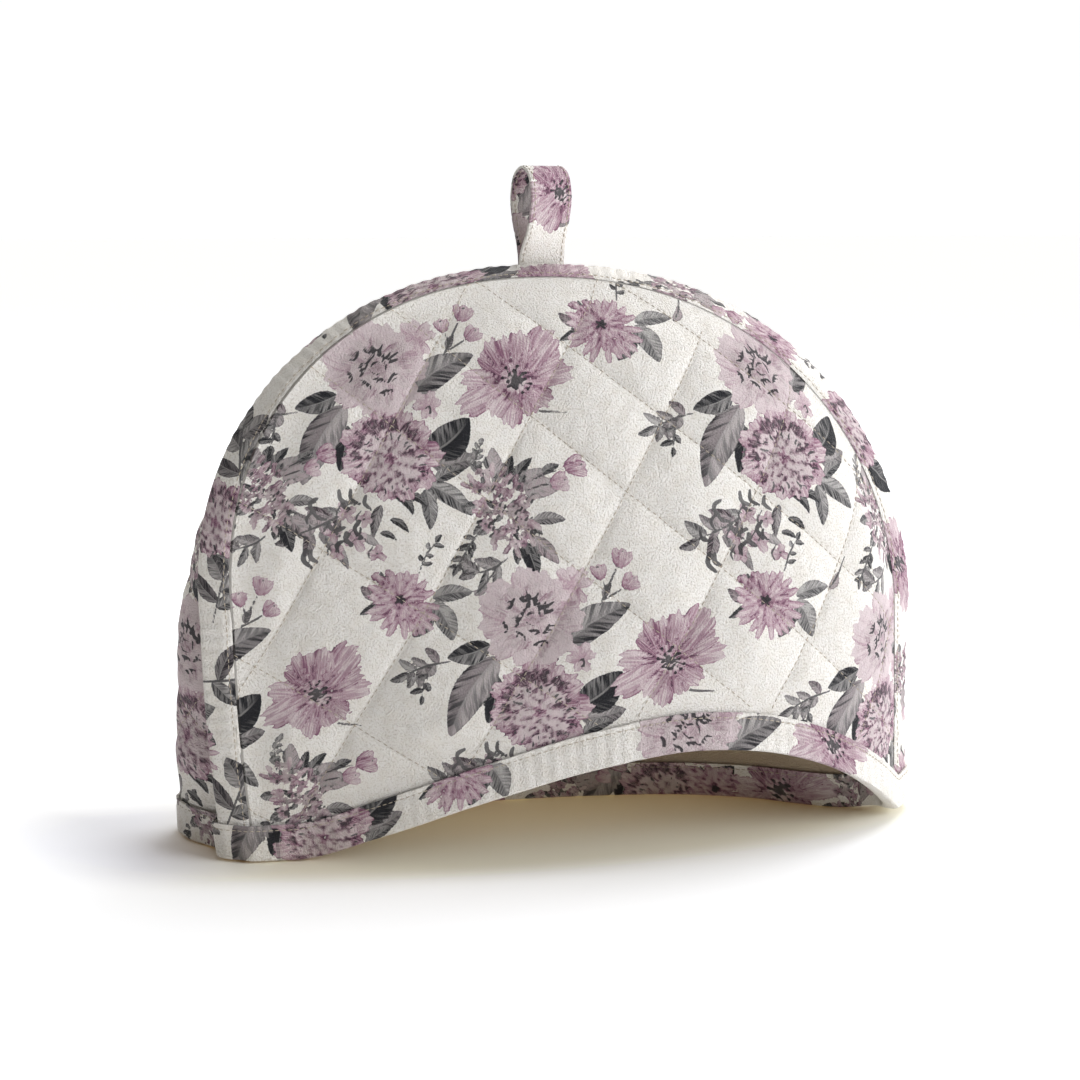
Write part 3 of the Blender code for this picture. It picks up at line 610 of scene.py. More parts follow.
def dahlia(p, x, y, draw):
    ringOfPetals(p, x + 1, y - 2, 19, 17, 4.6, 0.40, draw, ruffle=0.03, squash=0.95)
    ringOfPetals(p, x, y, 15, 12.5, 3.8, 0.58, draw, ruffle=0.03)
    ringOfPetals(p, x, y, 12, 8, 3, 0.30, draw)
    ringOfPetals(p, x, y, 7, 4.5, 2.6, 0.70, draw)
    for k in range(5):
        angle = math.radians(72 * k + draw.uniform(-15, 15))
        p.paintStroke([(x, y), (x + 2.6 * math.cos(angle), y + 2.6 * math.sin(angle))], 1.3, 0.1)


def floret(p, x, y, size, tone, draw, grey=0.15):
    ringOfPetals(p, x, y, 4, size, size * 0.95, tone, draw, ruffle=0.02, first=draw.uniform(0, 90), grey=grey)
    p.paintStroke([(x - 0.3, y), (x + 0.3, y + 0.2)], 1.0, 0.35)


def bud(p, x, y, angle, size, tone, draw):
    a = math.radians(angle)
    for spread in (-24, 24, 0):
        p.paintPetal(x, y, angle + spread, 0.0, size, size * 0.62, tone + draw.uniform(-0.06, 0.1),
                     draw.uniform(0, 1), 0.02)
    tip = (x + 0.8 * size * math.cos(a), y + 0.8 * size * math.sin(a))
    p.paintStroke([(tip[0] - 0.5, tip[1]), (tip[0] + 0.5, tip[1] + 0.5)], 0.9, 0.5)
    for spread in (-32, 30):
        p.paintLeaf(x, y, angle + spread, size * 0.75, size * 0.3, 0.1, 0.2)


def twig(p, points, count, leaf, width, tone, draw, pink=0.0):
    # Stem with leaves on both sides by turns and one at its tip
    path = refine(np.array(points, float), 6)
    p.paintStroke(points, 0.95, 0.45)
    for k in range(count):
        share = 0.25 + 0.75 * k / max(count - 1, 1)
        i = min(int(share * (len(path) - 1)), len(path) - 2)
        heading = math.degrees(math.atan2(*(path[i + 1] - path[i])[::-1]))
        lean = 0 if k == count - 1 else (48 if k % 2 else -48) + draw.uniform(-12, 12)
        p.paintLeaf(*path[i], heading + lean, leaf * draw.uniform(0.75, 1.2),
                    width * draw.uniform(0.8, 1.15), draw.uniform(-0.15, 0.15),
                    np.clip(tone + draw.uniform(-0.22, 0.22), 0.05, 0.9), pink * draw.uniform(0, 1))


# Leaves round the two blooms of a bouquet: x, y, angle, length, width, bend, tone, pink
bouquetLeaves = (
    (-16, -24, 257, 22, 9, 0.10, 0.06, 0.0), (-15, -16, 237, 42, 15, -0.10, 0.42, 0.3),
    (-18, -11, 196, 20, 10, 0.08, 0.20, 0.0), (12, -13, 31, 38, 14, 0.12, 0.38, 0.1),
    (19, -42, 8, 21, 10, -0.1, 0.42, 0.2), (19, -38, 38, 25, 15, -0.12, 0.03, 0.0),
    (17, -51, -37, 23, 9, 0.12, 0.40, 0.0), (16, -53, 270, 18, 7, 0.08, 0.36, 0.0),
    (20, -50, 22, 15, 6, 0.15, 0.28, 0.0), (2, -56, -50, 12, 4, 0.3, 0.15, 0.0),
    (7, -56, -30, 10, 4, 0.3, 0.12, 0.0), (-4, -60, 250, 15, 5, -0.1, 0.30, 0.2),
    (-1, -66, -38, 10, 3.5, 0.2, 0.12, 0.0), (-6, -72, -25, 8, 3, 0.2, 0.15, 0.0),
    (-15, -73, -31, 10, 4, 0.1, 0.75, 0.3), (-33, -72, -54, 20, 6, 0.15, 0.50, 0.3),
    (-35, -60, 260, 15, 4.5, 0.12, 0.70, 0.8), (-31, -62, -75, 16, 5, -0.12, 0.70, 0.9),
)
# Florets of its spray (x, y, size), stalks of its buds, and the buds (x, y, angle, size)
sprayFlorets = ((-20, -63, 5), (-27, -72, 4.5), (-17, -75, 5.5), (-26, -80, 4), (-8, -81, 4.5), (-12, -66, 4))
bouquetStalks = (
    (((31, 6), (34, 12), (33, 18)), 0.9), (((31, 6), (36, 15), (41, 24)), 1.0),
    (((32, 8), (38, 11), (43, 14)), 0.9),
)
bouquetBuds = ((33, 17, 100, 7), (41, 22, 70, 9), (42, 13, 40, 8))


def bouquet(p, draw):
    for row in bouquetLeaves:
        p.paintLeaf(*row)
    twig(p, ((-36, -18), (-46, -20), (-56, -24)), 7, 9.5, 4.4, 0.45, draw, 0.5)
    twig(p, ((-45, -21), (-47, -27), (-49, -34)), 4, 6, 2.8, 0.15, draw)
    twig(p, ((-16, -60), (-28, -67), (-46, -74)), 8, 12, 5.2, 0.36, draw, 0.6)
    for x, y, size in sprayFlorets:
        floret(p, x, y, size, 0.3, draw)
        p.paintStroke([(x - 3, y - 3), (x - 4, y), (x - 1, y + 4)], 0.9, 0.4)
    for _ in range(16):
        x, y = -8 - 36 * draw.uniform(0, 1), -52 - 30 * draw.uniform(0, 1)
        turn, far = draw.uniform(-2.6, -0.6), draw.uniform(3.0, 4.6)
        hook = [(x + share * far * math.cos(turn + bend), y + share * far * math.sin(turn + bend))
                for share, bend in ((0, 0), (1, 0), (1.8, 0.55))]
        p.paintStroke(hook, draw.uniform(1.3, 2.3), draw.uniform(0.05, 0.6))
    for stalk, thick in bouquetStalks:
        p.paintStroke(stalk, thick, 0.4)
    for x, y, angle, size in bouquetBuds:
        bud(p, x, y, angle, size, 0.34, draw)
    p.paintLeaf(33, 9, 60, 8, 3.5, 0.1, 0.35, 0.2)
    ringOfPetals(p, 20, 15, 8, 9.5, 6, 0.20, draw)
    ringOfPetals(p, 21, -16, 6, 7, 5, 0.24, draw)
    paleBloom(p, 0, 0, draw)
    deepBloom(p, 2, -38, draw)
    p.paintStroke([(20, -18), (22, -17), (22, -20), (20.5, -20)], 0.9, 0.2)


# Leaves of the dahlia and of the cluster, in the same order
dahliaLeaves = (
    (15, 1, 8, 19, 7.5, 0.1, 0.44, 0.0), (15, -1, -66, 19, 10.5, 0.12, 0.48, 0.0),
    (12, -4, 240, 15, 9, 0.1, 0.14, 0.0), (-10, 0, 140, 10, 5, 0.1, 0.22, 0.6),
    (-10, -1, 212, 11, 3.5, 0.1, 0.2, 0.0), (-6, 5, 100, 8, 4, 0.1, 0.32, 0.0),
    (34, 2, 48, 10, 4, -0.15, 0.75, 0.7),
)
clusterLeaves = (
    (-2, 8, 92, 15, 7.5, 0.05, 0.75, 0.6), (2, 8, 72, 12, 4.5, 0.1, 0.12, 0.0),
    (4, 7, 48, 15, 4.5, 0.1, 0.16, 0.0), (5, 4, 30, 18, 7, 0.1, 0.6, 0.5),
    (9, 2, 14, 18, 8.5, 0.1, 0.8, 0.8), (11, -9, 0, 14, 5.5, 0.1, 0.42, 0.1),
    (6, -18, -76, 16, 7.5, 0.05, 0.05, 0.0), (9, -16, -47, 16, 7, 0.08, 0.5, 0.7),
    (2, -20, 270, 8, 3.4, 0.05, 0.25, 0.0), (-9, -10, 215, 8, 4, 0.0, 0.4, 0.0),
    (-12, -2, 190, 7, 5, 0.1, 0.35, 0.0),
)


def dahliaBunch(p, draw):
    for row in dahliaLeaves:
        p.paintLeaf(*row)
    twig(p, ((10, 12), (14, 20), (20, 27)), 6, 4.6, 2.4, 0.3, draw)
    p.paintStroke([(34, 2), (42, 10), (46, 16)], 0.9, 0.4)
    for x, y, angle in ((-9, 8, 110), (-4, 9, 80)):
        bud(p, x, y, angle, 4.6, 0.5, draw)
    dahlia(p, 0, 0, draw)


def clusterBunch(p, draw):
    twig(p, ((-10, 8), (-11, 16), (-7, 25)), 9, 4, 2.2, 0.4, draw)
    for row in clusterLeaves:
        p.paintLeaf(*row)
    twig(p, ((-12, -13), (-18, -20), (-24, -29)), 10, 5.5, 2.4, 0.3, draw)
    twig(p, ((-2, -25), (-8, -29), (-18, -32)), 6, 10, 4.2, 0.5, draw, 0.4)
    p.paintStroke([(12, 8), (19, 11), (27, 13)], 0.9, 0.3)
    p.paintStroke([(10, 4), (17, 6), (21, 6)], 0.9, 0.3)
    bud(p, 27, 13, 12, 10, 0.42, draw)
    bud(p, 20, 6, 15, 8.5, 0.34, draw)
    p.paintLeaf(17, 11, 25, 9, 4, 0.1, 0.22, 0.0)
    # A leaning oval packed with florets, petals, small leaves and strokes
    for k in range(84):
        angle, far = draw.uniform(0, 2 * math.pi), draw.uniform(0, 1) ** 0.6
        x, y = 13 * far * math.cos(angle) - 1, 17 * far * math.sin(angle) - 4
        x += 4 * (y + 4) / -17
        heading = math.degrees(angle) + draw.uniform(-30, 30)
        if k % 3 == 0:
            p.paintLeaf(x, y, heading, 6, 2.6, 0.1, draw.uniform(0.05, 0.35))
        if k % 3 == 1:
            p.paintPetal(x, y, heading, 0.0, 6.2, 2.8, draw.uniform(0.1, 0.6), draw.uniform(0, 1), 0.02,
                         grey=draw.uniform(0.1, 0.7))
        else:
            floret(p, x, y, draw.uniform(1.7, 2.9), draw.uniform(0.05, 0.5), draw, draw.uniform(0.1, 0.7))
        if k % 2:
            p.paintStroke([(x + 1.5, y - 1), (x + 2.6, y + 0.8)], 1.1, draw.uniform(0.0, 0.4))


def deepBunch(p, draw):
    # The bouquet's lower bloom alone, with the leaves beside it
    for x, y, *shape in bouquetLeaves[5:10]:
        p.paintLeaf(x, y + 38, *shape)
    deepBloom(p, 0, 0, draw)


def sprig(p, draw):
    twig(p, ((-14, -3), (0, 0), (15, 4)), 6, 15, 8, 0.28, draw, 0.2)


# How each bunch is painted, its reach in millimetres and its seed
bunches = {
    "deep": (deepBunch, 45, 15), "sprig": (sprig, 35, 16), "bouquet": (bouquet, 90, 11),
    "dahlia": (dahliaBunch, 50, 12), "cluster": (clusterBunch, 45, 13), "open": (openBloom, 35, 14),
}


def lay(p, kind, x, y, turn=0.0, size=1.0):
    paint, reach, seed = bunches[kind]
    if len(p.near(x, y, reach * size)):
        p.place = (x, y, math.radians(turn), size)
        paint(p, np.random.default_rng(seed))


# Repeat of the print in millimetres: step across, step down, how many each way, where it starts
# on the back panel and each bunch's place in it
repeat = {
    "across": (173.7, -3.9), "down": (54.5, -109.4), "reach": 3, "start": (160, 89),
    "bunches": (("bouquet", 0, 0), ("open", 60, -9), ("dahlia", 102, 12), ("cluster", 50, -58)),
}


def layRepeat(p):
    (acrossX, acrossY), (downX, downY), (startX, startY) = repeat["across"], repeat["down"], repeat["start"]
    steps = range(-repeat["reach"], repeat["reach"] + 1)
    for i in steps:
        for j in steps:
            left, low = startX + i * acrossX + j * downX, startY + i * acrossY + j * downY
            for kind, dx, dy in repeat["bunches"]:
                lay(p, kind, left + dx, low + dy)


# Front panel's cut of the print: bunch, x, y, turn, size
frontBunches = (
    ("bouquet", -82.7, 216.2, 0, 1.0), ("bouquet", 91.0, 212.3, 0, 1.0), ("bouquet", -28.2, 106.8, 0, 0.97),
    ("bouquet", 136.6, 86.9, 0, 0.95), ("bouquet", -184, 96, 0, 0.97), ("open", -21.5, 210.8, 0, 1.0),
    ("open", -121.6, 74.7, 0, 0.92), ("open", 29.9, 88.9, 0, 0.93), ("dahlia", 19.9, 235.5, 0, 1.0),
    ("dahlia", -83.2, 115.4, 0, 0.95), ("dahlia", 73.9, 111.7, 0, 0.95), ("cluster", -33.1, 158.1, 0, 1.0),
    ("cluster", 148.6, 144.4, 0, 1.0), ("cluster", -131.9, 31.8, 0, 0.95), ("cluster", 28, 27, 0, 0.95),
    ("cluster", -137, 166, 0, 0.9),
)

# Bunches on the strips, from each strip's start: along the strip, across it
bindingBunches = (
    ("sprig", 26, 4, -40, 1.1), ("sprig", 78, 2, -100, 1.1), ("sprig", 116, 4, -30, 1.0),
    ("deep", 146, 8, -90, 0.8), ("sprig", 172, 4, 10, 1.1), ("bouquet", 286, 44, 0, 1.0),
    ("open", 338, -6, 0, 0.9), ("cluster", 398, 8, -30, 0.8), ("dahlia", 446, 7, -40, 0.9),
    ("deep", 500, 4, 0, 0.9), ("open", 566, 6, 0, 0.9), ("cluster", 618, 6, 0, 0.8),
    ("dahlia", 668, 12, 0, 0.9), ("dahlia", 46, 26, 0, 0.9), ("open", 236, 30, 0, 0.9),
)
hemBunches = (
    ("bouquet", 18, 29, 0, 0.97), ("dahlia", 82, 0, 0, 0.95), ("bouquet", 183, -9, 0, 0.97),
    ("open", 254, -7, 0, 0.95), ("cluster", 356, -27, 180, 0.9), ("open", 392, -30, 180, 1.0),
    ("bouquet", 452, -62, 180, 0.97), ("dahlia", 424, -28, 180, 0.9), ("cluster", 500, -28, 180, 0.9),
    ("open", 540, -30, 180, 0.9), ("bouquet", 590, 24, 0, 0.97), ("dahlia", 655, -6, 0, 0.9),
    ("cluster", 712, 2, 0, 0.8), ("dahlia", 610, -30, 180, 0.9),
)
loopBunches = (("open", 4.5, 41, 0, 0.85), ("bouquet", 50, 96, 0, 0.9), ("cluster", -2, 88, 0, 0.8))


def layRows(p, rows, around=0.0):
    # A closed strip also takes what runs over its ends
    for kind, x, y, turn, size in rows:
        for lap in ((-around, 0, around) if around else (0,)):
            lay(p, kind, x + lap, y, turn, size)


def dress(obj, node, p, inside):
    # The print goes on the points as attributes, inside being 1 on the lining and 0 elsewhere, and
    # the piece takes its solid's place
    layers = {name: getattr(p, name) for name in printLayers}
    layers["flat"] = np.stack([p.x, p.y, inside], -1)
    for name, values in layers.items():
        layer = obj.data.attributes.new(name, "FLOAT_VECTOR", "POINT")
        layer.data.foreach_set("vector", np.ascontiguousarray(values, dtype=np.float32).ravel())
    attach(obj, "root")
    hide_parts(node)


def linked(name, data):
    obj = bpy.data.objects.new(name, data)
    bpy.context.scene.collection.objects.link(obj)
    return obj


sharpAngle = math.radians(50)


def newCloth(name, points, faces):
    mesh = bpy.data.meshes.new(name)
    mesh.from_pydata((np.asarray(points) + shift).tolist(), [], faces)
    mesh.shade_smooth()
    mesh.set_sharp_from_angle(angle=sharpAngle)
    mesh.materials.append(cotton)
    return linked(name, mesh)


def gridFaces(ids, flip=False):
    a, b, c, d = ids[:-1, :-1], ids[:-1, 1:], ids[1:, 1:], ids[1:, :-1]
    quads = np.stack([a, b, c, d] if flip else [a, d, c, b], -1)
    return quads.reshape(-1, 4).tolist()


# Nodes of one tree, and arithmetic on their sockets
class Graph:
    def __init__(self, tree):
        self.tree = tree

    def feed(self, node, sockets):
        for key, value in sockets.items():
            if isinstance(value, Value):
                self.tree.links.new(value.socket, node.inputs[key])
            else:
                node.inputs[key].default_value = value

    def add(self, kind, settings, sockets, output=0):
        # A node from its type, its settings and the values or links of its sockets
        node = self.tree.nodes.new(kind)
        for key, value in settings.items():
            setattr(node, key, value)
        self.feed(node, sockets)
        return Value(self, node.outputs[output]) if node.outputs else None


class Value:
    def __init__(self, graph, socket):
        self.graph, self.socket = graph, socket

    def sibling(self, output):
        return Value(self.graph, self.socket.node.outputs[output])

    def math(self, operation, *others):
        return self.graph.add("ShaderNodeMath", {"operation": operation}, dict(enumerate((self,) + others)))

    def __add__(self, other):
        return self.math("ADD", other)

    def __mul__(self, other):
        return self.math("MULTIPLY", other)

    def __sub__(self, other):
        return self.math("SUBTRACT", other)

    def __rsub__(self, other):
        return (self * -1.0) + other

    def __truediv__(self, other):
        return self.math("DIVIDE", other)

    def __abs__(self):
        return self.math("ABSOLUTE")

    __radd__, __rmul__ = __add__, __mul__

    def between(self, low, high):
        return self.graph.add("ShaderNodeMapRange", {"interpolation_type": "SMOOTHSTEP"},
                              {"Value": self, "From Min": low, "From Max": high})


def split(graph, vector):
    x = graph.add("ShaderNodeSeparateXYZ", {}, {0: vector})
    return x, x.sibling(1), x.sibling(2)


def attribute(graph, name):
    return split(graph, graph.add("ShaderNodeAttribute", {"attribute_name": name}, {}, "Vector"))


def joined(graph, x, y, z):
    return graph.add("ShaderNodeCombineXYZ", {}, {0: x, 1: y, 2: z})


def noise(graph, vector, scale, detail=2.0):
    return graph.add("ShaderNodeTexNoise", {}, {"Vector": vector, "Scale": scale, "Detail": detail}, "Fac")


def mixed(graph, factor, a, b):
    a, b = (c if isinstance(c, Value) else (*c, 1.0) for c in (a, b))
    return graph.add("ShaderNodeMix", {"data_type": "RGBA"}, {0: factor, 6: a, 7: b}, 2)


# Colours of the cloth and of its print; the lining's colour is partly its own beige and partly painted shade,
# darker and browner
inks = {
    "ground": (0.84, 0.81, 0.76), "groundShade": (0.79, 0.75, 0.685), "speckle": (0.55, 0.49, 0.40),
    "lining": (0.47, 0.37, 0.26), "thread": (0.46, 0.39, 0.30),
    "black": (0.014, 0.014, 0.017), "darkGrey": (0.066, 0.064, 0.064), "grey": (0.20, 0.19, 0.185),
    "paleGrey": (0.42, 0.40, 0.38), "leafPink": (0.43, 0.32, 0.34), "palePetal": (0.64, 0.54, 0.545),
    "petal": (0.46, 0.325, 0.36), "deepPetal": (0.26, 0.12, 0.18), "darkPetal": (0.070, 0.032, 0.052),
    "duskyPetal": (0.37, 0.325, 0.31),
}


def leafColour(graph):
    # Veins slant from the rib to the rim, and one side of the leaf is paler
    edge, along, across = attribute(graph, "leaf")
    tone, pink, seed = attribute(graph, "leafTint")
    slant = joined(graph, along * 8.0 - abs(across) * 1.9, across * 0.45 + seed * 31.0, seed * 17.0)
    streak = noise(graph, slant, 2.1, 3.0)
    side = across.between(-0.12, 0.16) * 0.26
    mark = (streak.between(0.36, 0.62) - 0.58) * (abs(across) * 0.50 + 0.16)
    depth = tone + side - 0.09 + mark + (0.5 - along) * 0.10
    leaf = mixed(graph, depth.between(0.0, 0.18), inks["black"], inks["darkGrey"])
    leaf = mixed(graph, depth.between(0.12, 0.42), leaf, inks["grey"])
    leaf = mixed(graph, depth.between(0.38, 0.75), leaf, inks["paleGrey"])
    leaf = mixed(graph, pink * streak.between(0.3, 0.6) * 0.8, leaf, inks["leafPink"])
    rib = 1.0 - abs(across).between(0.02, 0.09)
    leaf = mixed(graph, rib * 0.5 * along.between(1.0, 0.5), leaf, inks["paleGrey"])
    rim = edge.between(0.75, 0.15) * 0.3
    return edge, mixed(graph, rim, leaf, inks["darkGrey"])


def petalColour(graph, flat):
    # Streaks run along the petal, which darkens to its foot, to its rim and to one side
    edge, along, across = attribute(graph, "petal")
    tone, seed, grey = attribute(graph, "petalTint")
    streak = noise(graph, joined(graph, across * 3.4 + seed * 23.0, along * 1.1, seed * 41.0), 2.4, 3.0)
    blot = noise(graph, flat, 0.33, 3.0)
    depth = tone + (streak.between(0.37, 0.63) - 0.52) * (tone * 0.75 + 0.08) + (0.55 - along) * 0.42
    depth = depth + (blot - 0.5) * 0.34 + edge.between(0.9, 0.1) * (tone * 0.55 + 0.05)
    depth = depth + (across.between(-0.1, 0.95) - 0.28) * (tone * 0.42 + 0.16)
    petal = mixed(graph, depth.between(0.05, 0.42), inks["palePetal"], inks["petal"])
    petal = mixed(graph, depth.between(0.42, 0.85), petal, inks["deepPetal"])
    petal = mixed(graph, depth.between(0.85, 1.25), petal, inks["darkPetal"])
    grey = grey * (0.6 + blot.between(0.35, 0.65) * 0.8)
    dusk = mixed(graph, depth.between(0.2, 0.9), inks["duskyPetal"], inks["darkGrey"])
    return edge, mixed(graph, grey, petal, dusk)


# Shader settings of each finish
finishes = {
    "cotton": {"Roughness": 0.88, "Sheen Weight": 0.12, "Sheen Roughness": 0.5, "Specular IOR Level": 0.25},
    "thread": {"Base Color": (*inks["thread"], 1.0), "Roughness": 0.7, "Sheen Weight": 0.2},
    # The floor glows: its emission is painted shadow and painted light, not a lamp
    "floor": {"Roughness": 0.9, "Emission Strength": 1.0},
}


def newMaterial(name, finish):
    material = bpy.data.materials.new(name)
    material.use_nodes = True
    graph = Graph(material.node_tree)
    shader = graph.tree.nodes["Principled BSDF"]
    graph.feed(shader, finish)
    return material, graph, shader


def printedCotton(name):
    material, graph, shader = newMaterial(name, finishes["cotton"])
    x, y, inside = attribute(graph, "flat")
    flat = joined(graph, x, y, inside * 40.0)
    wobble = noise(graph, flat, 0.9, 2.0) - 0.5
    wash = noise(graph, flat, 0.16, 3.0)
    colour = mixed(graph, wash.between(0.35, 0.75), inks["ground"], inks["groundShade"])
    pebble = noise(graph, flat, 1.15, 3.0)
    colour = mixed(graph, pebble.between(0.48, 0.66) * 0.42, colour, inks["speckle"])
    edge, leaf = leafColour(graph)
    colour = mixed(graph, (edge + wobble * 0.9).between(-0.10, 0.14), colour, leaf)
    edge, petal = petalColour(graph, flat)
    colour = mixed(graph, (edge + wobble * 1.1).between(-0.10, 0.16), colour, petal)
    edge, tone, _ = attribute(graph, "ink")
    stroke = mixed(graph, tone, inks["black"], inks["grey"])
    colour = mixed(graph, (edge + wobble * 0.35).between(-0.12, 0.10) * 0.94, colour, stroke)
    # The lining's colour is partly painted shade: darker and browner than its beige cloth
    colour = mixed(graph, inside, colour, inks["lining"])
    grain = noise(graph, flat, 1.5, 4.0) - pebble.between(0.45, 0.66) * 0.5
    bump = graph.add("ShaderNodeBump", {}, {"Height": grain, "Strength": 0.8, "Distance": 0.0007})
    graph.feed(shader, {"Base Color": colour, "Normal": bump})
    return material


cotton = printedCotton("printed_cotton")
thread = newMaterial("thread", finishes["thread"])[0]


def bindingLayers():
    # Heights of the seam binding's inner and outer face over the middle of the bound edge
    inside = seam["gap"] / 2 + seam["edge"] + seam["clearance"]
    return inside, inside + seam["thickness"]


def bindingPath(count):
    # The seam's frames from the binding's left end to its right end
    end = 1 - seamShare(seam["rightCorner"] + band["lift"])
    return seamFrame(np.linspace(seamShare(band["lift"]), end, count))


def bindingOutline():
    # Outer face of the solid binding: reach from the seam, height over the edge's middle
    inside, outside = bindingLayers()
    corner = seam["cornerShare"] * outside
    return (
        (seam["foot"], inside), (seam["foot"], outside), (seam["shoulder"], outside),
        (seam["corner"], corner), (seam["reach"], 0.0), (seam["corner"], -corner),
        (seam["shoulder"], -outside), (seam["backFoot"], -outside),
    )


def placeShift():
    # The solids were centred after they were made: that move, within half a millimetre, from the low
    # corner of the binding's box and of its outline without the rounded corners
    box = np.array(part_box("seam_binding"), float).reshape(2, 3)
    point, edge, facing = bindingPath(seam["stations"])
    spots = [point + edge * reach + facing * height
             for reach, height in (bindingOutline()[k] for k in (1, 2, 4, 6))]
    return box[0] - np.concatenate(spots).min(axis=0)


shift = placeShift()
print("stage shift", np.round(shift * 1000, 2).tolist(), flush=True)

# Fine steps in one coarse column and one coarse row of each panel, and the lining's stride over them
fineness = {"front": (7, 10), "back": (5, 7), "frontLining": 4, "backLining": 4}


def panel(name, node, front):
    side = "front" if front else "back"
    parts = panelSurfaces(front, *fineness[side])
    stride = fineness[side + "Lining"]
    outer, cells = parts["outer"], parts["cells"]
    rows, columns = outer.shape[:2]
    inner = parts["lining"][::stride, ::stride]
    outerIds = np.arange(rows * columns).reshape(rows, columns)
    innerIds = rows * columns + np.arange(inner.shape[0] * inner.shape[1]).reshape(inner.shape[:2])
    points = [outer.reshape(-1, 3), inner.reshape(-1, 3), parts["margin"][1], parts["margin"][0]]
    faces = gridFaces(outerIds, front) + gridFaces(innerIds, not front)
    start = rows * columns + innerIds.size
    count = len(cells)
    ring = np.array([outerIds[cell] for cell in cells])
    strips = [ring, start + np.arange(count), start + count + np.arange(count)]
    faces += gridFaces(np.stack(strips[:2]), not front) + gridFaces(np.stack(strips[1:]), not front)
    # One face joins two border points of the lining with all the margin's points between them
    toInner = {(row * stride, column * stride): innerIds[row, column]
               for row, column in np.ndindex(*innerIds.shape)}
    picks = [k for k, cell in enumerate(cells) if cell in toInner]
    for a, b in zip(picks[:-1], picks[1:]):
        fan = [toInner[cells[b]], toInner[cells[a]]] + [int(strips[2][k]) for k in range(a, b + 1)]
        faces.append(fan if front else fan[::-1])
    low = [column for column in range(columns) if (0, column) in toInner]
    for a, b in zip(low[:-1], low[1:]):
        fan = [toInner[(0, a)], toInner[(0, b)]] + [int(outerIds[0, k]) for k in range(b, a - 1, -1)]
        faces.append(fan if front else fan[::-1])
    obj = newCloth(name, np.concatenate(points), faces)

    p = Print(parts["printX"], parts["y"])
    if front:
        layRows(p, frontBunches)
    else:
        layRepeat(p)
    rim = np.zeros(2 * count)
    innerX, innerY = (parts[key][::stride, ::stride].ravel() * 1000 for key in ("printX", "y"))
    p.addBare(np.r_[innerX, rim], np.r_[innerY, rim])
    dress(obj, node, p, np.arange(len(p.x)) >= rows * columns)
    return obj, parts


frontPanel, frontParts = panel("frontPanel", "front_panel", True)
print("stage front panel", len(frontPanel.data.polygons), flush=True)
backPanel, backParts = panel("backPanel", "back_panel", False)
print("stage back panel", len(backPanel.data.polygons), flush=True)


def sweptStrip(name, node, sections, closed, flat, rows, lap=0.0):
    # sections: stations x points around; flat: places along and across the cloth that fit them
    count, around = sections.shape[:2]
    ids = np.arange(count * around).reshape(count, around)
    loop = np.concatenate([ids, ids[:, :1]], 1)
    if closed:
        loop = np.concatenate([loop, loop[:1]], 0)
    faces = gridFaces(loop)
    if not closed:
        faces.append(ids[0].tolist())
        faces.append(ids[-1][::-1].tolist())
    obj = newCloth(name, sections.reshape(-1, 3), faces)
    p = Print(*np.broadcast_arrays(*flat))
    layRows(p, rows, lap)
    dress(obj, node, p, np.zeros(len(p.x)))


# Seam binding's cross-section: its face from the sewn edge to the fold, the fold's round, its back
# and the pressed sheet inside it, which reaches to the panels' edge
binding = {
    "stations": 740, "middle": 0.008, "tuck": 0.0007, "tuckDepth": 0.0003,
    "faceFrom": 0.0013, "faceTo": 0.0122, "faceSteps": 16, "rampFrom": 0.0006, "ramp": 0.0034, "low": 0.0001,
    "foldFrom": 0.0128, "foldTurn": 80, "foldSteps": 9, "foldPower": 0.8,
    "back": (0.0122, 0.0105, 0.0092, 0.0084), "backEdge": 0.0081,
    "sheetTo": 0.0136, "sheetFrom": 0.0024, "sheetSink": 0.0002,
    "stitchReach": 0.0028, "stitchWidth": 0.0011, "stitchSink": 0.0003, "stitchRise": 0.0001,
    "pucker": 0.00022, "puckerLength": 0.0029, "waveSize": 0.007, "puckerFrom": 0.0002,
}


def puckers(travelled, height, length, waveHeight, waveSize, seed):
    # Even puckers between the stitches with softer, uneven waves
    even = height * np.sin(travelled / length * math.pi)
    return even + waveHeight * softNoise(travelled, travelled * 0, waveSize, seed)


def bindingProfile():
    inside, outside = bindingLayers()
    low, full = inside + binding["low"], math.radians(binding["foldTurn"])
    face = np.linspace(binding["faceFrom"], binding["faceTo"], binding["faceSteps"])
    profile = [(binding["tuck"], inside - binding["tuckDepth"])]
    profile += list(zip(face, low + (outside - low) * ease((face - binding["rampFrom"]) / binding["ramp"])))
    for turn in np.linspace(full, -full, binding["foldSteps"]):
        reach = (seam["reach"] - binding["foldFrom"]) * math.cos(turn) ** binding["foldPower"]
        profile.append((binding["foldFrom"] + reach, outside * math.sin(turn) / math.sin(full)))
    profile += [(reach, -outside) for reach in binding["back"]]
    profile += [(seam["backFoot"], -inside - binding["tuckDepth"]), (binding["backEdge"], -inside),
                (binding["sheetTo"], -inside), (binding["sheetTo"], inside),
                (binding["sheetFrom"], inside - binding["sheetSink"])]
    return np.array(profile)


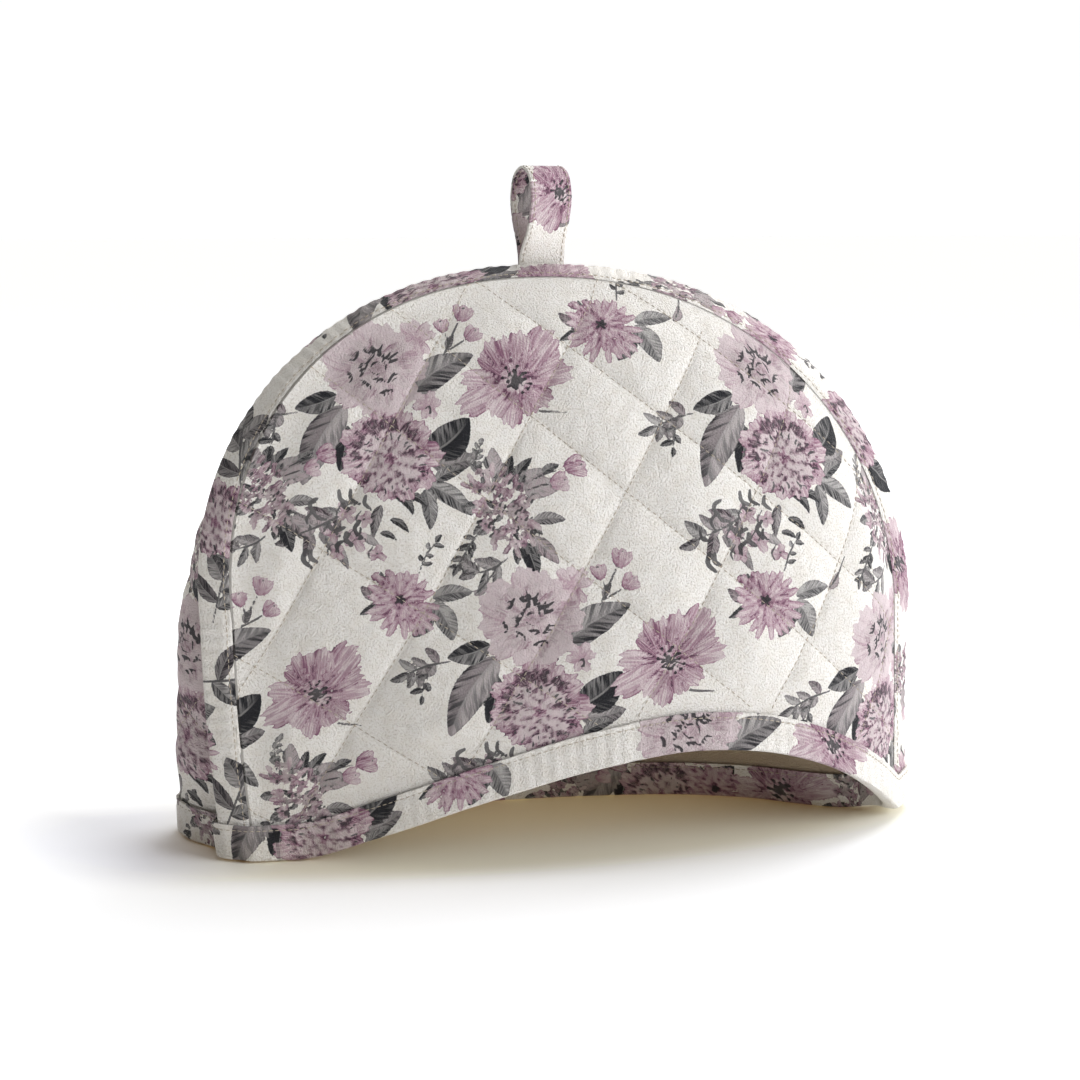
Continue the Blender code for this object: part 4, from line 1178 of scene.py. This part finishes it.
def seamBinding():
    inside, _ = bindingLayers()
    point, edge, facing = bindingPath(binding["stations"])
    profile = bindingProfile()
    reach, height = profile.T
    travelled = lengthsAlong(point + edge * binding["middle"])
    stitched = np.exp(-((reach - binding["stitchReach"]) / binding["stitchWidth"]) ** 2) * (height > inside)
    raised = height > inside + binding["puckerFrom"]
    pucker = puckers(travelled, binding["pucker"], binding["puckerLength"], binding["pucker"],
                     binding["waveSize"], 8)
    height = height - binding["stitchSink"] * stitched + pucker[:, None] * raised
    sections = point[:, None] + edge[:, None] * profile[:, :1] + facing[:, None] * height[..., None]
    sweptStrip("seamBinding", "seam_binding", sections, False,
               (travelled[:, None], lengthsAlong(profile)), bindingBunches)
    row = int(np.argmin(np.abs(reach[:binding["faceSteps"] + 1] - binding["stitchReach"])))
    return sections[:, row] + facing * binding["stitchRise"]


seamStitchPath = seamBinding()
print("stage binding", flush=True)


def hemSide(front, share, level):
    side = -1.0 if front else 1.0
    z = hemHeight(front, share) + level
    lining = liningPoint(front, share, z)
    ahead = liningPoint(front, min(share + band["slopeStep"], 1), z)
    behind = liningPoint(front, max(share - band["slopeStep"], 0), z)
    along = unit((ahead - behind) * (1, 1, 0))
    normal = np.array([along[1], -along[0], 0]) * -side
    start = lining + np.array([0, side * seam["gap"] / 2, 0])
    clear = seam["clearance"]
    return start - normal * clear, start + normal * (body["hemThickness"] + clear), normal


def cornerOutline(left, count, level):
    half = seam["gap"] / 2 + seam["edge"] + 2 * seam["clearance"] + seam["thickness"]
    base = 0.0 if left else seam["rightCorner"]
    a = seamShare(base + level)
    point, edge, facing = (part[0] for part in seamFrame(np.array([a if left else 1 - a])))
    past = seam["reach"] + band["cornerGap"]
    around = [(reach, half) for reach in band["cornerReach"]]
    around += [(past, half * band["cornerShare"]), (past + band["cornerGap"], 0.0),
               (past, -half * band["cornerShare"])]
    spots = [(point + edge * reach + facing * height) * (1, 1, 0) for reach, height in around]
    spots = [spot + (0, 0, base + level) for spot in spots]
    landing = hemSide(False, band["bridgeLeft"] if left else band["bridgeRight"], level)[1]
    free = count - len(around)
    tip = spots[-1]
    spots = np.array(spots + [tip + (landing - tip) * (k + 1) / (free + 1) for k in range(free)])
    along = unit(np.gradient(spots, axis=0) * (1, 1, 0))
    side = -1.0 if left else 1.0
    return spots, np.stack([along[:, 1], -along[:, 0], 0 * along[:, 0]], -1) * side


def hemStations(level):
    grid = np.linspace(0, 1, body["columns"] + 1)
    back = crowd(False, grid, 0)
    back = back[(back > band["bridgeLeft"]) & (back < band["bridgeRight"])]
    rows = [hemSide(True, share, level) for share in crowd(True, grid, 0)[1:-1]]
    stations = [(outside, normal, inside, normal) for inside, outside, normal in rows]
    spots, pushes = cornerOutline(False, band["rightTurn"], level)
    for k, share in enumerate(np.linspace(band["rightStart"], band["rightEnd"], band["rightTurn"])):
        inside, _, normal = hemSide(False, share, level)
        stations.append((spots[k], pushes[k], inside, normal))
    rows = [hemSide(False, share, level) for share in back[::-1]]
    stations += [(outside, normal, inside, normal) for inside, outside, normal in rows]
    spots, pushes = cornerOutline(True, band["leftTurn"], level)
    for k, share in enumerate(np.linspace(band["leftStart"], band["leftEnd"], band["leftTurn"])):
        inside, _, normal = hemSide(False, share, level)
        stations.append((spots[-1 - k], pushes[-1 - k], inside, normal))
    return np.array(stations)


# Hem binding: its fineness, the fold under the hem, the slot that holds the hem, stitches and puckers
hemFinish = {
    "alongFactor": 7, "upFactor": 5, "foldSteps": 9, "foldPower": 0.45,
    "lip": 0.0001, "lipShare": 0.75, "lipRise": 0.0002, "foot": 0.0014, "innerStride": 3,
    "stitchHeight": 0.0142, "stitchWidth": 0.0012, "stitchSink": 0.0004, "threadSink": 0.0002,
    "pucker": 0.000144, "puckerLength": 0.0031, "wave": 0.00024, "waveSize": 0.009,
}


def hemBinding():
    levels = np.linspace(0, band["height"], band["levels"] + 1)
    coarse = np.array([hemStations(level) for level in levels])
    fine = refine(refine(coarse, hemFinish["alongFactor"], 1, True), hemFinish["upFactor"], 0)
    slot, push, lining, inPush = (fine[:, :, k] for k in range(4))
    push, inPush = unit(push), unit(inPush)
    thick, top = band["thickness"], len(fine) - 1
    up = np.linspace(0, band["height"], top + 1)
    travelled = lengthsAlong(slot[0])
    away = (up - hemFinish["stitchHeight"]) / hemFinish["stitchWidth"]
    sunk = hemFinish["stitchSink"] * np.exp(-away ** 2)
    pucker = puckers(travelled, hemFinish["pucker"], hemFinish["puckerLength"], hemFinish["wave"],
                     hemFinish["waveSize"], 5)
    # Down the outer face, round the fold under the hem, up the inner face and back along the slot
    ring = [slot[top] + push[top] * hemFinish["lip"],
            slot[top] + push[top] * thick * hemFinish["lipShare"] + (0, 0, hemFinish["lipRise"])]
    ring += [slot[k] + push[k] * (thick - sunk[k] + pucker[:, None]) for k in range(top, 1, -1)]
    outFoot, inFoot = slot[1] + push[1] * thick, lining[1] - inPush[1] * thick
    floor = np.minimum(slot[0][:, 2:], lining[0][:, 2:])
    for t in np.linspace(0, 1, hemFinish["foldSteps"]):
        spot = outFoot * (1 - t) + inFoot * t
        drop = (spot[:, 2:] - floor) * math.sin(math.pi * t) ** hemFinish["foldPower"]
        ring.append(np.concatenate([spot[:, :2], spot[:, 2:] - drop], -1))
    ring += [lining[k] - inPush[k] * (thick - sunk[k]) for k in range(2, top + 1)]
    ring.append(lining[top] - inPush[top] * hemFinish["lip"])
    ring += [lining[k] for k in range(top, 0, -hemFinish["innerStride"])]
    ring += [lining[0] + (0, 0, hemFinish["foot"]), slot[0] + (0, 0, hemFinish["foot"])]
    ring += [slot[k] for k in range(1, top, hemFinish["innerStride"])]
    sections = np.stack(ring, 1)
    girth = np.r_[0, np.cumsum(np.linalg.norm(np.diff(sections, axis=1), axis=2).mean(axis=0))]
    sweptStrip("hemBinding", "hem_binding", sections, True, (travelled[:, None], -girth), hemBunches,
               travelled[-1] * 1000)
    row, depth = int(np.argmin(np.abs(up - hemFinish["stitchHeight"]))), thick - hemFinish["threadSink"]
    return slot[row] + push[row] * depth, lining[row] - inPush[row] * depth


hemStitchPaths = hemBinding()
print("stage hem", flush=True)

loop = {
    "width": 0.0205, "thickness": 0.0018, "twist": math.radians(20), "twistHeight": 0.015,
    "x": -0.007, "clearance": 0.0004, "stations": 121, "faceTo": 0.95, "faceSteps": 20,
    "edge": [(0.985, 0.75), (1.0, 0.0), (0.985, -0.75)], "back": 0.03,
    "stitchShare": 0.84, "stitchWidth": 0.07, "stitchSink": 0.16, "stitchRise": 1.02,
}
# Share of its length, depth, height above the bound edge
loopOutline = np.array([
    (0.0, -0.0011, -0.0085), (0.08, -0.0011, -0.0005), (0.17, -0.0028, 0.0085), (0.28, -0.0072, 0.0205),
    (0.38, -0.0086, 0.0315), (0.45, -0.0056, 0.0395), (0.50, 0.0, 0.0420), (0.55, 0.0056, 0.0395),
    (0.62, 0.0090, 0.0315), (0.72, 0.0080, 0.0205), (0.83, 0.0036, 0.0085), (0.92, 0.0011, -0.0005),
    (1.0, 0.0011, -0.0085),
])


def hangingLoop():
    # It stands behind the binding's top, its legs turned a little and its fold upwards
    point, edge, facing = (part[0] for part in seamFrame(np.array([0.5])))
    outline = np.array([point + edge * reach + facing * height for reach, height in bindingOutline()])
    footY = outline[:, 1].max() + loop["clearance"] * 1.5 + loop["thickness"]
    footZ = outline[:, 2].max()
    share = np.linspace(0, 1, loop["stations"])
    depth, height = curveAt(loopOutline[:, 0], loopOutline[:, 1:], share).T
    tangent = unit(np.gradient(np.stack([depth, height], -1), axis=0))
    turn = loop["twist"] * ease(height / loop["twistHeight"])
    wide = np.stack([np.cos(turn), np.sin(turn), 0 * turn], -1)
    deep = np.stack([-np.sin(turn), np.cos(turn), 0 * turn], -1)
    spot = np.array([loop["x"], footY, footZ]) + deep * depth[:, None]
    spot[:, 2] += height
    thick = -deep * tangent[:, 1:]
    thick[:, 2] += tangent[:, 0]
    half, flat = loop["thickness"] / 2, loop["width"] / 2
    # One face and edge of its cross-section, in shares of half its width and thickness
    face = [(across, 1.0) for across in np.linspace(-loop["faceTo"], loop["faceTo"], loop["faceSteps"])]
    face += loop["edge"]
    profile = np.array(face + [(-across, -up) for across, up in face])
    across, up = profile.T
    stitched = np.exp(-((np.abs(across) - loop["stitchShare"]) / loop["stitchWidth"]) ** 2)
    up = up * (1 - loop["stitchSink"] * stitched)
    sections = spot[:, None] + wide[:, None] * (across * flat)[:, None]
    sections = sections + thick[:, None] * (up * half)[:, None]
    flatX = np.where(profile[:, 1] > -0.5, across * flat, loop["back"] - across * flat)
    sweptStrip("hangingLoop", "hanging_loop", sections, False, (flatX, lengthsAlong(spot)[:, None]),
               loopBunches)
    return [spot + wide * (side * flat * loop["stitchShare"]) + thick * half * loop["stitchRise"] * face
            for side in (-1, 1) for face in (1, -1)]


loopStitchPaths = hangingLoop()
print("stage loop", flush=True)

# Stitches: their steps on the quilting and on the bindings, their size and how far they stand out;
# then how the quilting's lines are walked on the flat cloth
stitching = {
    "quilt": 0.0030, "top": 0.0027, "length": 0.0021, "thick": 0.00042, "rise": 0.00010,
    "walk": 0.46, "walkStep": 0.0012, "fallingFrom": -0.17, "risingFrom": -0.23, "risingLines": 7,
    "offCloth": 0.0016, "hemGap": 0.002, "fewest": 6, "smoothing": 3, "seamEnds": 8, "loopEnds": 6,
}


def stitchGroup():
    # One stitch on each step along the edges of the mesh that comes in
    tree = bpy.data.node_groups.new("stitches", "GeometryNodeTree")
    inputs = {}
    for name, kind in (("Geometry", "Geometry"), ("Pitch", "Float"), ("Length", "Float"),
                       ("Thickness", "Float"), ("Material", "Material")):
        made = tree.interface.new_socket(name, in_out="INPUT", socket_type="NodeSocket" + kind)
        inputs[name] = made.identifier
    tree.interface.new_socket("Geometry", in_out="OUTPUT", socket_type="NodeSocketGeometry")
    graph = Graph(tree)
    entry = graph.add("NodeGroupInput", {}, {})
    pitch, length, thick, material = (entry.sibling(k) for k in (1, 2, 3, 4))
    curve = graph.add("GeometryNodeMeshToCurve", {}, {"Mesh": entry})
    steps = graph.add("GeometryNodeResampleCurve", {"mode": "LENGTH"}, {"Curve": curve, "Length": pitch})
    bead = graph.add("GeometryNodeMeshUVSphere", {}, {"Segments": 6, "Rings": 4, "Radius": 0.5})
    tangent = graph.add("GeometryNodeInputTangent", {}, {})
    heading = graph.add("FunctionNodeAlignRotationToVector", {"axis": "X"}, {"Vector": tangent})
    scale = joined(graph, length, thick, thick)
    beads = graph.add("GeometryNodeInstanceOnPoints", {},
                      {"Points": steps, "Instance": bead, "Rotation": heading, "Scale": scale})
    real = graph.add("GeometryNodeRealizeInstances", {}, {"Geometry": beads})
    sewn = graph.add("GeometryNodeSetMaterial", {}, {"Geometry": real, "Material": material})
    graph.add("NodeGroupOutput", {}, {0: sewn})
    return tree, inputs


stitchTree, stitchInputs = stitchGroup()


def sew(name, paths, pitch):
    points, edges = [], []
    for path in paths:
        start = len(points)
        points += (np.asarray(path) + shift).tolist()
        edges += [(start + k, start + k + 1) for k in range(len(path) - 1)]
    mesh = bpy.data.meshes.new(name + "Line")
    mesh.from_pydata(points, edges, [])
    line = linked(name + "Line", mesh)
    modifier = line.modifiers.new("stitches", "NODES")
    modifier.node_group = stitchTree
    for key, value in (("Pitch", pitch), ("Length", stitching["length"]), ("Thickness", stitching["thick"]),
                       ("Material", thread)):
        modifier[stitchInputs[key]] = value
    bpy.context.view_layer.update()
    made = bpy.data.meshes.new_from_object(line.evaluated_get(bpy.context.evaluated_depsgraph_get()))
    line.modifiers.clear()
    bpy.data.objects.remove(line, do_unlink=True)
    made.name = name
    made.shade_smooth()
    obj = linked(name, made)
    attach(obj, "root")


def quiltPaths(parts, front):
    # Stitched lines: walked on the flat cloth, looked up on the panel's outer face
    x, y = parts["x"].ravel(), parts["y"].ravel()
    outer = parts["outer"].reshape(-1, 3)
    tree = KDTree(len(x))
    for k in range(len(x)):
        tree.insert((x[k], y[k], 0), k)
    tree.balance()
    normal = unit(np.cross(*(np.gradient(parts["outer"], axis=k) for k in (1, 0)))).reshape(-1, 3)
    if (normal[len(normal) // 2][1] > 0) == front:
        normal = -normal
    hem = hemHeight(front, parts["across"])
    clear = (parts["z"] - hem > band["height"] + stitching["hemGap"]).ravel()

    def walk(start, direction):
        # The stretches of one line that lie on the cloth and clear of the hem band
        path = []
        for step in np.arange(0, stitching["walk"], stitching["walkStep"]):
            near = tree.find_n((*(start + direction * step), 0), 4)
            ids = [index for _, index, _ in near]
            if near[0][2] > stitching["offCloth"] or not clear[ids[0]]:
                if len(path) > stitching["fewest"]:
                    yield path
                path = []
                continue
            weights = np.array([1 / (distance + 1e-5) for _, _, distance in near])
            spot = (outer[ids] * weights[:, None]).sum(0) / weights.sum()
            path.append(spot + normal[ids[0]] * stitching["rise"])
        if len(path) > stitching["fewest"]:
            yield path

    paths, left = [], stitching["fallingFrom"]
    for height, slope in fallingLines:
        direction = np.array([1, slope]) / math.hypot(1, slope)
        paths += walk(np.array([left, height + slope * left]), direction)
    direction = np.array([math.cos(rising["angle"]), math.sin(rising["angle"])])
    for k in range(-stitching["risingLines"], stitching["risingLines"] + 1):
        foot = np.array([-direction[1], direction[0]]) * (rising["start"] + k * rising["pitch"])
        paths += walk(foot + direction * stitching["risingFrom"], direction)
    paths = [np.array(path) for path in paths]
    for path in paths:
        for _ in range(stitching["smoothing"]):
            path[1:-1] = (path[:-2] + 2 * path[1:-1] + path[2:]) / 4
    return paths


def trimmed(path, ends):
    return path[ends:-ends]


sew("frontStitches", quiltPaths(frontParts, True), stitching["quilt"])
sew("backStitches", quiltPaths(backParts, False), stitching["quilt"])
sew("seamStitches", [trimmed(seamStitchPath, stitching["seamEnds"])], stitching["top"])
closedHem = [np.concatenate([path, path[:1]]) for path in hemStitchPaths]
sew("hemStitches", closedHem, stitching["top"])
sew("loopStitches", [trimmed(path, stitching["loopEnds"]) for path in loopStitchPaths], stitching["top"])
print("stage stitches", flush=True)

# Focal length in pixels of the frame's width
camera = {
    "spot": (-0.1476, -0.6871, 0.2773), "pitch": 11.47, "yaw": 10.829, "focal": 1647.97, "frame": 1080,
    "sensor": 36.0, "clip": (0.01, 20.0),
}


def makeCamera():
    data = bpy.data.cameras.new("camera")
    data.sensor_width = camera["sensor"]
    data.lens = camera["focal"] * camera["sensor"] / camera["frame"]
    data.clip_start, data.clip_end = camera["clip"]
    obj = linked("camera", data)
    obj.location = Vector(camera["spot"]) + Vector(shift)
    obj.rotation_euler = (math.radians(90 - camera["pitch"]), 0, -math.radians(camera["yaw"]))
    bpy.context.scene.camera = obj


def areaLight(name, spot, target, size, power, colour=(1, 1, 1)):
    data = bpy.data.lights.new(name, "AREA")
    data.shape = "SQUARE"
    data.size = size
    data.energy = power
    data.color = colour
    obj = linked(name, data)
    obj.location = spot
    obj.rotation_euler = (Vector(target) - Vector(spot)).to_track_quat("-Z", "Y").to_euler()


# World light; the floor's colours and glow, which paint the cosy's shadow on the floor and paint the floor
# brighter further off, with the reaches over which they change; and the lamps
studio = {
    "low": 0.26, "middle": 0.78, "high": 1.02, "side": 0.38,
    "behind": (-0.10, 0.60), "horizon": (0.42, 0.20), "leftToRight": (-0.5, 0.3),
    "warm": (1.0, 0.92, 0.78), "cool": (0.99, 0.995, 1.0),
    # The floor's warm base colour and its glows are painted shadow under the cosy with painted bounce light
    # in it, then painted light past the shadow and far off; the bluish base colour balances the warm glow
    "floor": (0.86, 0.89, 0.95), "paintedShadowFloor": (0.88, 0.87, 0.72), "paintedFloorLight": (0.15, 0.10, 0.04),
    "dim": (0.045, 0.02, 0.0), "skirt": (0.30, 0.275, 0.225), "far": (0.60, 0.58, 0.545),
    "shadeMiddle": (-0.015, 0.03), "shadeReach": (0.235, 0.08), "shadeCore": (0.10, 0.80),
    "shadeRim": (0.80, 1.12), "shadeBack": (0.045, 0.075), "paintedShadowLeftEnd": (-0.11, -0.19),
    "farReach": (0.26, 0.65), "floorSize": 14.0, "floorHeight": -0.0002,
    "keySpot": (0.55, 0.60, 1.35), "keyTarget": (0, 0, 0.05), "keySize": 1.1, "keyPower": 16.0,
    "fillSpot": (1.5, -0.85, 0.75), "fillTarget": (0, 0, 0.12), "fillSize": 1.0, "fillPower": 28.6,
    "fillColour": (0.97, 0.985, 1.03),
}


def makeWorld():
    # Brighter behind the cosy, most of all low down, than on the viewer's side; warm and dim to its left
    world = bpy.data.worlds.new("world")
    world.use_nodes = True
    graph = Graph(world.node_tree)
    background = graph.tree.nodes["Background"]
    x, y, z = split(graph, graph.add("ShaderNodeTexCoord", {}, {}, "Generated"))
    behind = y.between(*studio["behind"])
    strength = behind * (studio["middle"] - studio["low"]) + studio["low"]
    strength = strength + behind * z.between(*studio["horizon"]) * (studio["high"] - studio["middle"])
    strength = (strength + x * studio["side"] * (1.0 - behind)).math("MAXIMUM", 0.0)
    cool = x.between(*studio["leftToRight"]).math("MAXIMUM", behind)
    colour = mixed(graph, cool, studio["warm"], studio["cool"])
    graph.feed(background, {"Color": colour, "Strength": strength})
    bpy.context.scene.world = world


def makeFloor():
    half, height = studio["floorSize"], studio["floorHeight"]
    mesh = bpy.data.meshes.new("floor")
    corners = [(-half, -half, height), (half, -half, height), (half, half, height), (-half, half, height)]
    mesh.from_pydata(corners, [], [(0, 1, 2, 3)])
    floor = linked("floor", mesh)
    material, graph, shader = newMaterial("floor", finishes["floor"])
    x, y, _ = split(graph, graph.add("ShaderNodeTexCoord", {}, {}, "Object"))
    away = (x * x + y * y).math("SQRT").between(*studio["farReach"])
    # Painted shadow of the cosy on the floor: an oval, warm and dim inside, brighter past its rim, where the
    # floor's glow is painted light
    (middleX, middleY), (reachX, reachY) = studio["shadeMiddle"], studio["shadeReach"]
    u, v = (x - middleX) / reachX, (y - middleY) / reachY
    shade = (u * u + v * v).math("SQRT")
    skirt = shade.between(*studio["shadeRim"]).math("MAXIMUM", y.between(*studio["shadeBack"]))
    paintedFloorLight = mixed(graph, shade.between(*studio["shadeCore"]), studio["paintedFloorLight"], studio["dim"])
    paintedFloorLight = mixed(graph, away, mixed(graph, skirt, paintedFloorLight, studio["skirt"]), studio["far"])
    # The warm base colour is painted shadow; it gives way to the floor's own colour past the rim, behind the
    # cosy and at its left
    cool = skirt.math("MAXIMUM", x.between(*studio["paintedShadowLeftEnd"]))
    colour = mixed(graph, cool, studio["paintedShadowFloor"], studio["floor"])
    graph.feed(shader, {"Base Color": colour, "Emission Color": paintedFloorLight})
    mesh.materials.append(material)
    floor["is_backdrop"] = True


def makeStudio():
    bpy.context.scene.view_settings.view_transform = "Standard"
    makeWorld()
    makeFloor()
    areaLight("key", studio["keySpot"], studio["keyTarget"], studio["keySize"], studio["keyPower"])
    areaLight("fill", studio["fillSpot"], studio["fillTarget"], studio["fillSize"], studio["fillPower"],
              studio["fillColour"])


makeCamera()
makeStudio()
plain = lambda bounds: [[float(v) for v in corner] for corner in bounds]
{"cad": plain(cadBounds), "visual": plain(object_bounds())}
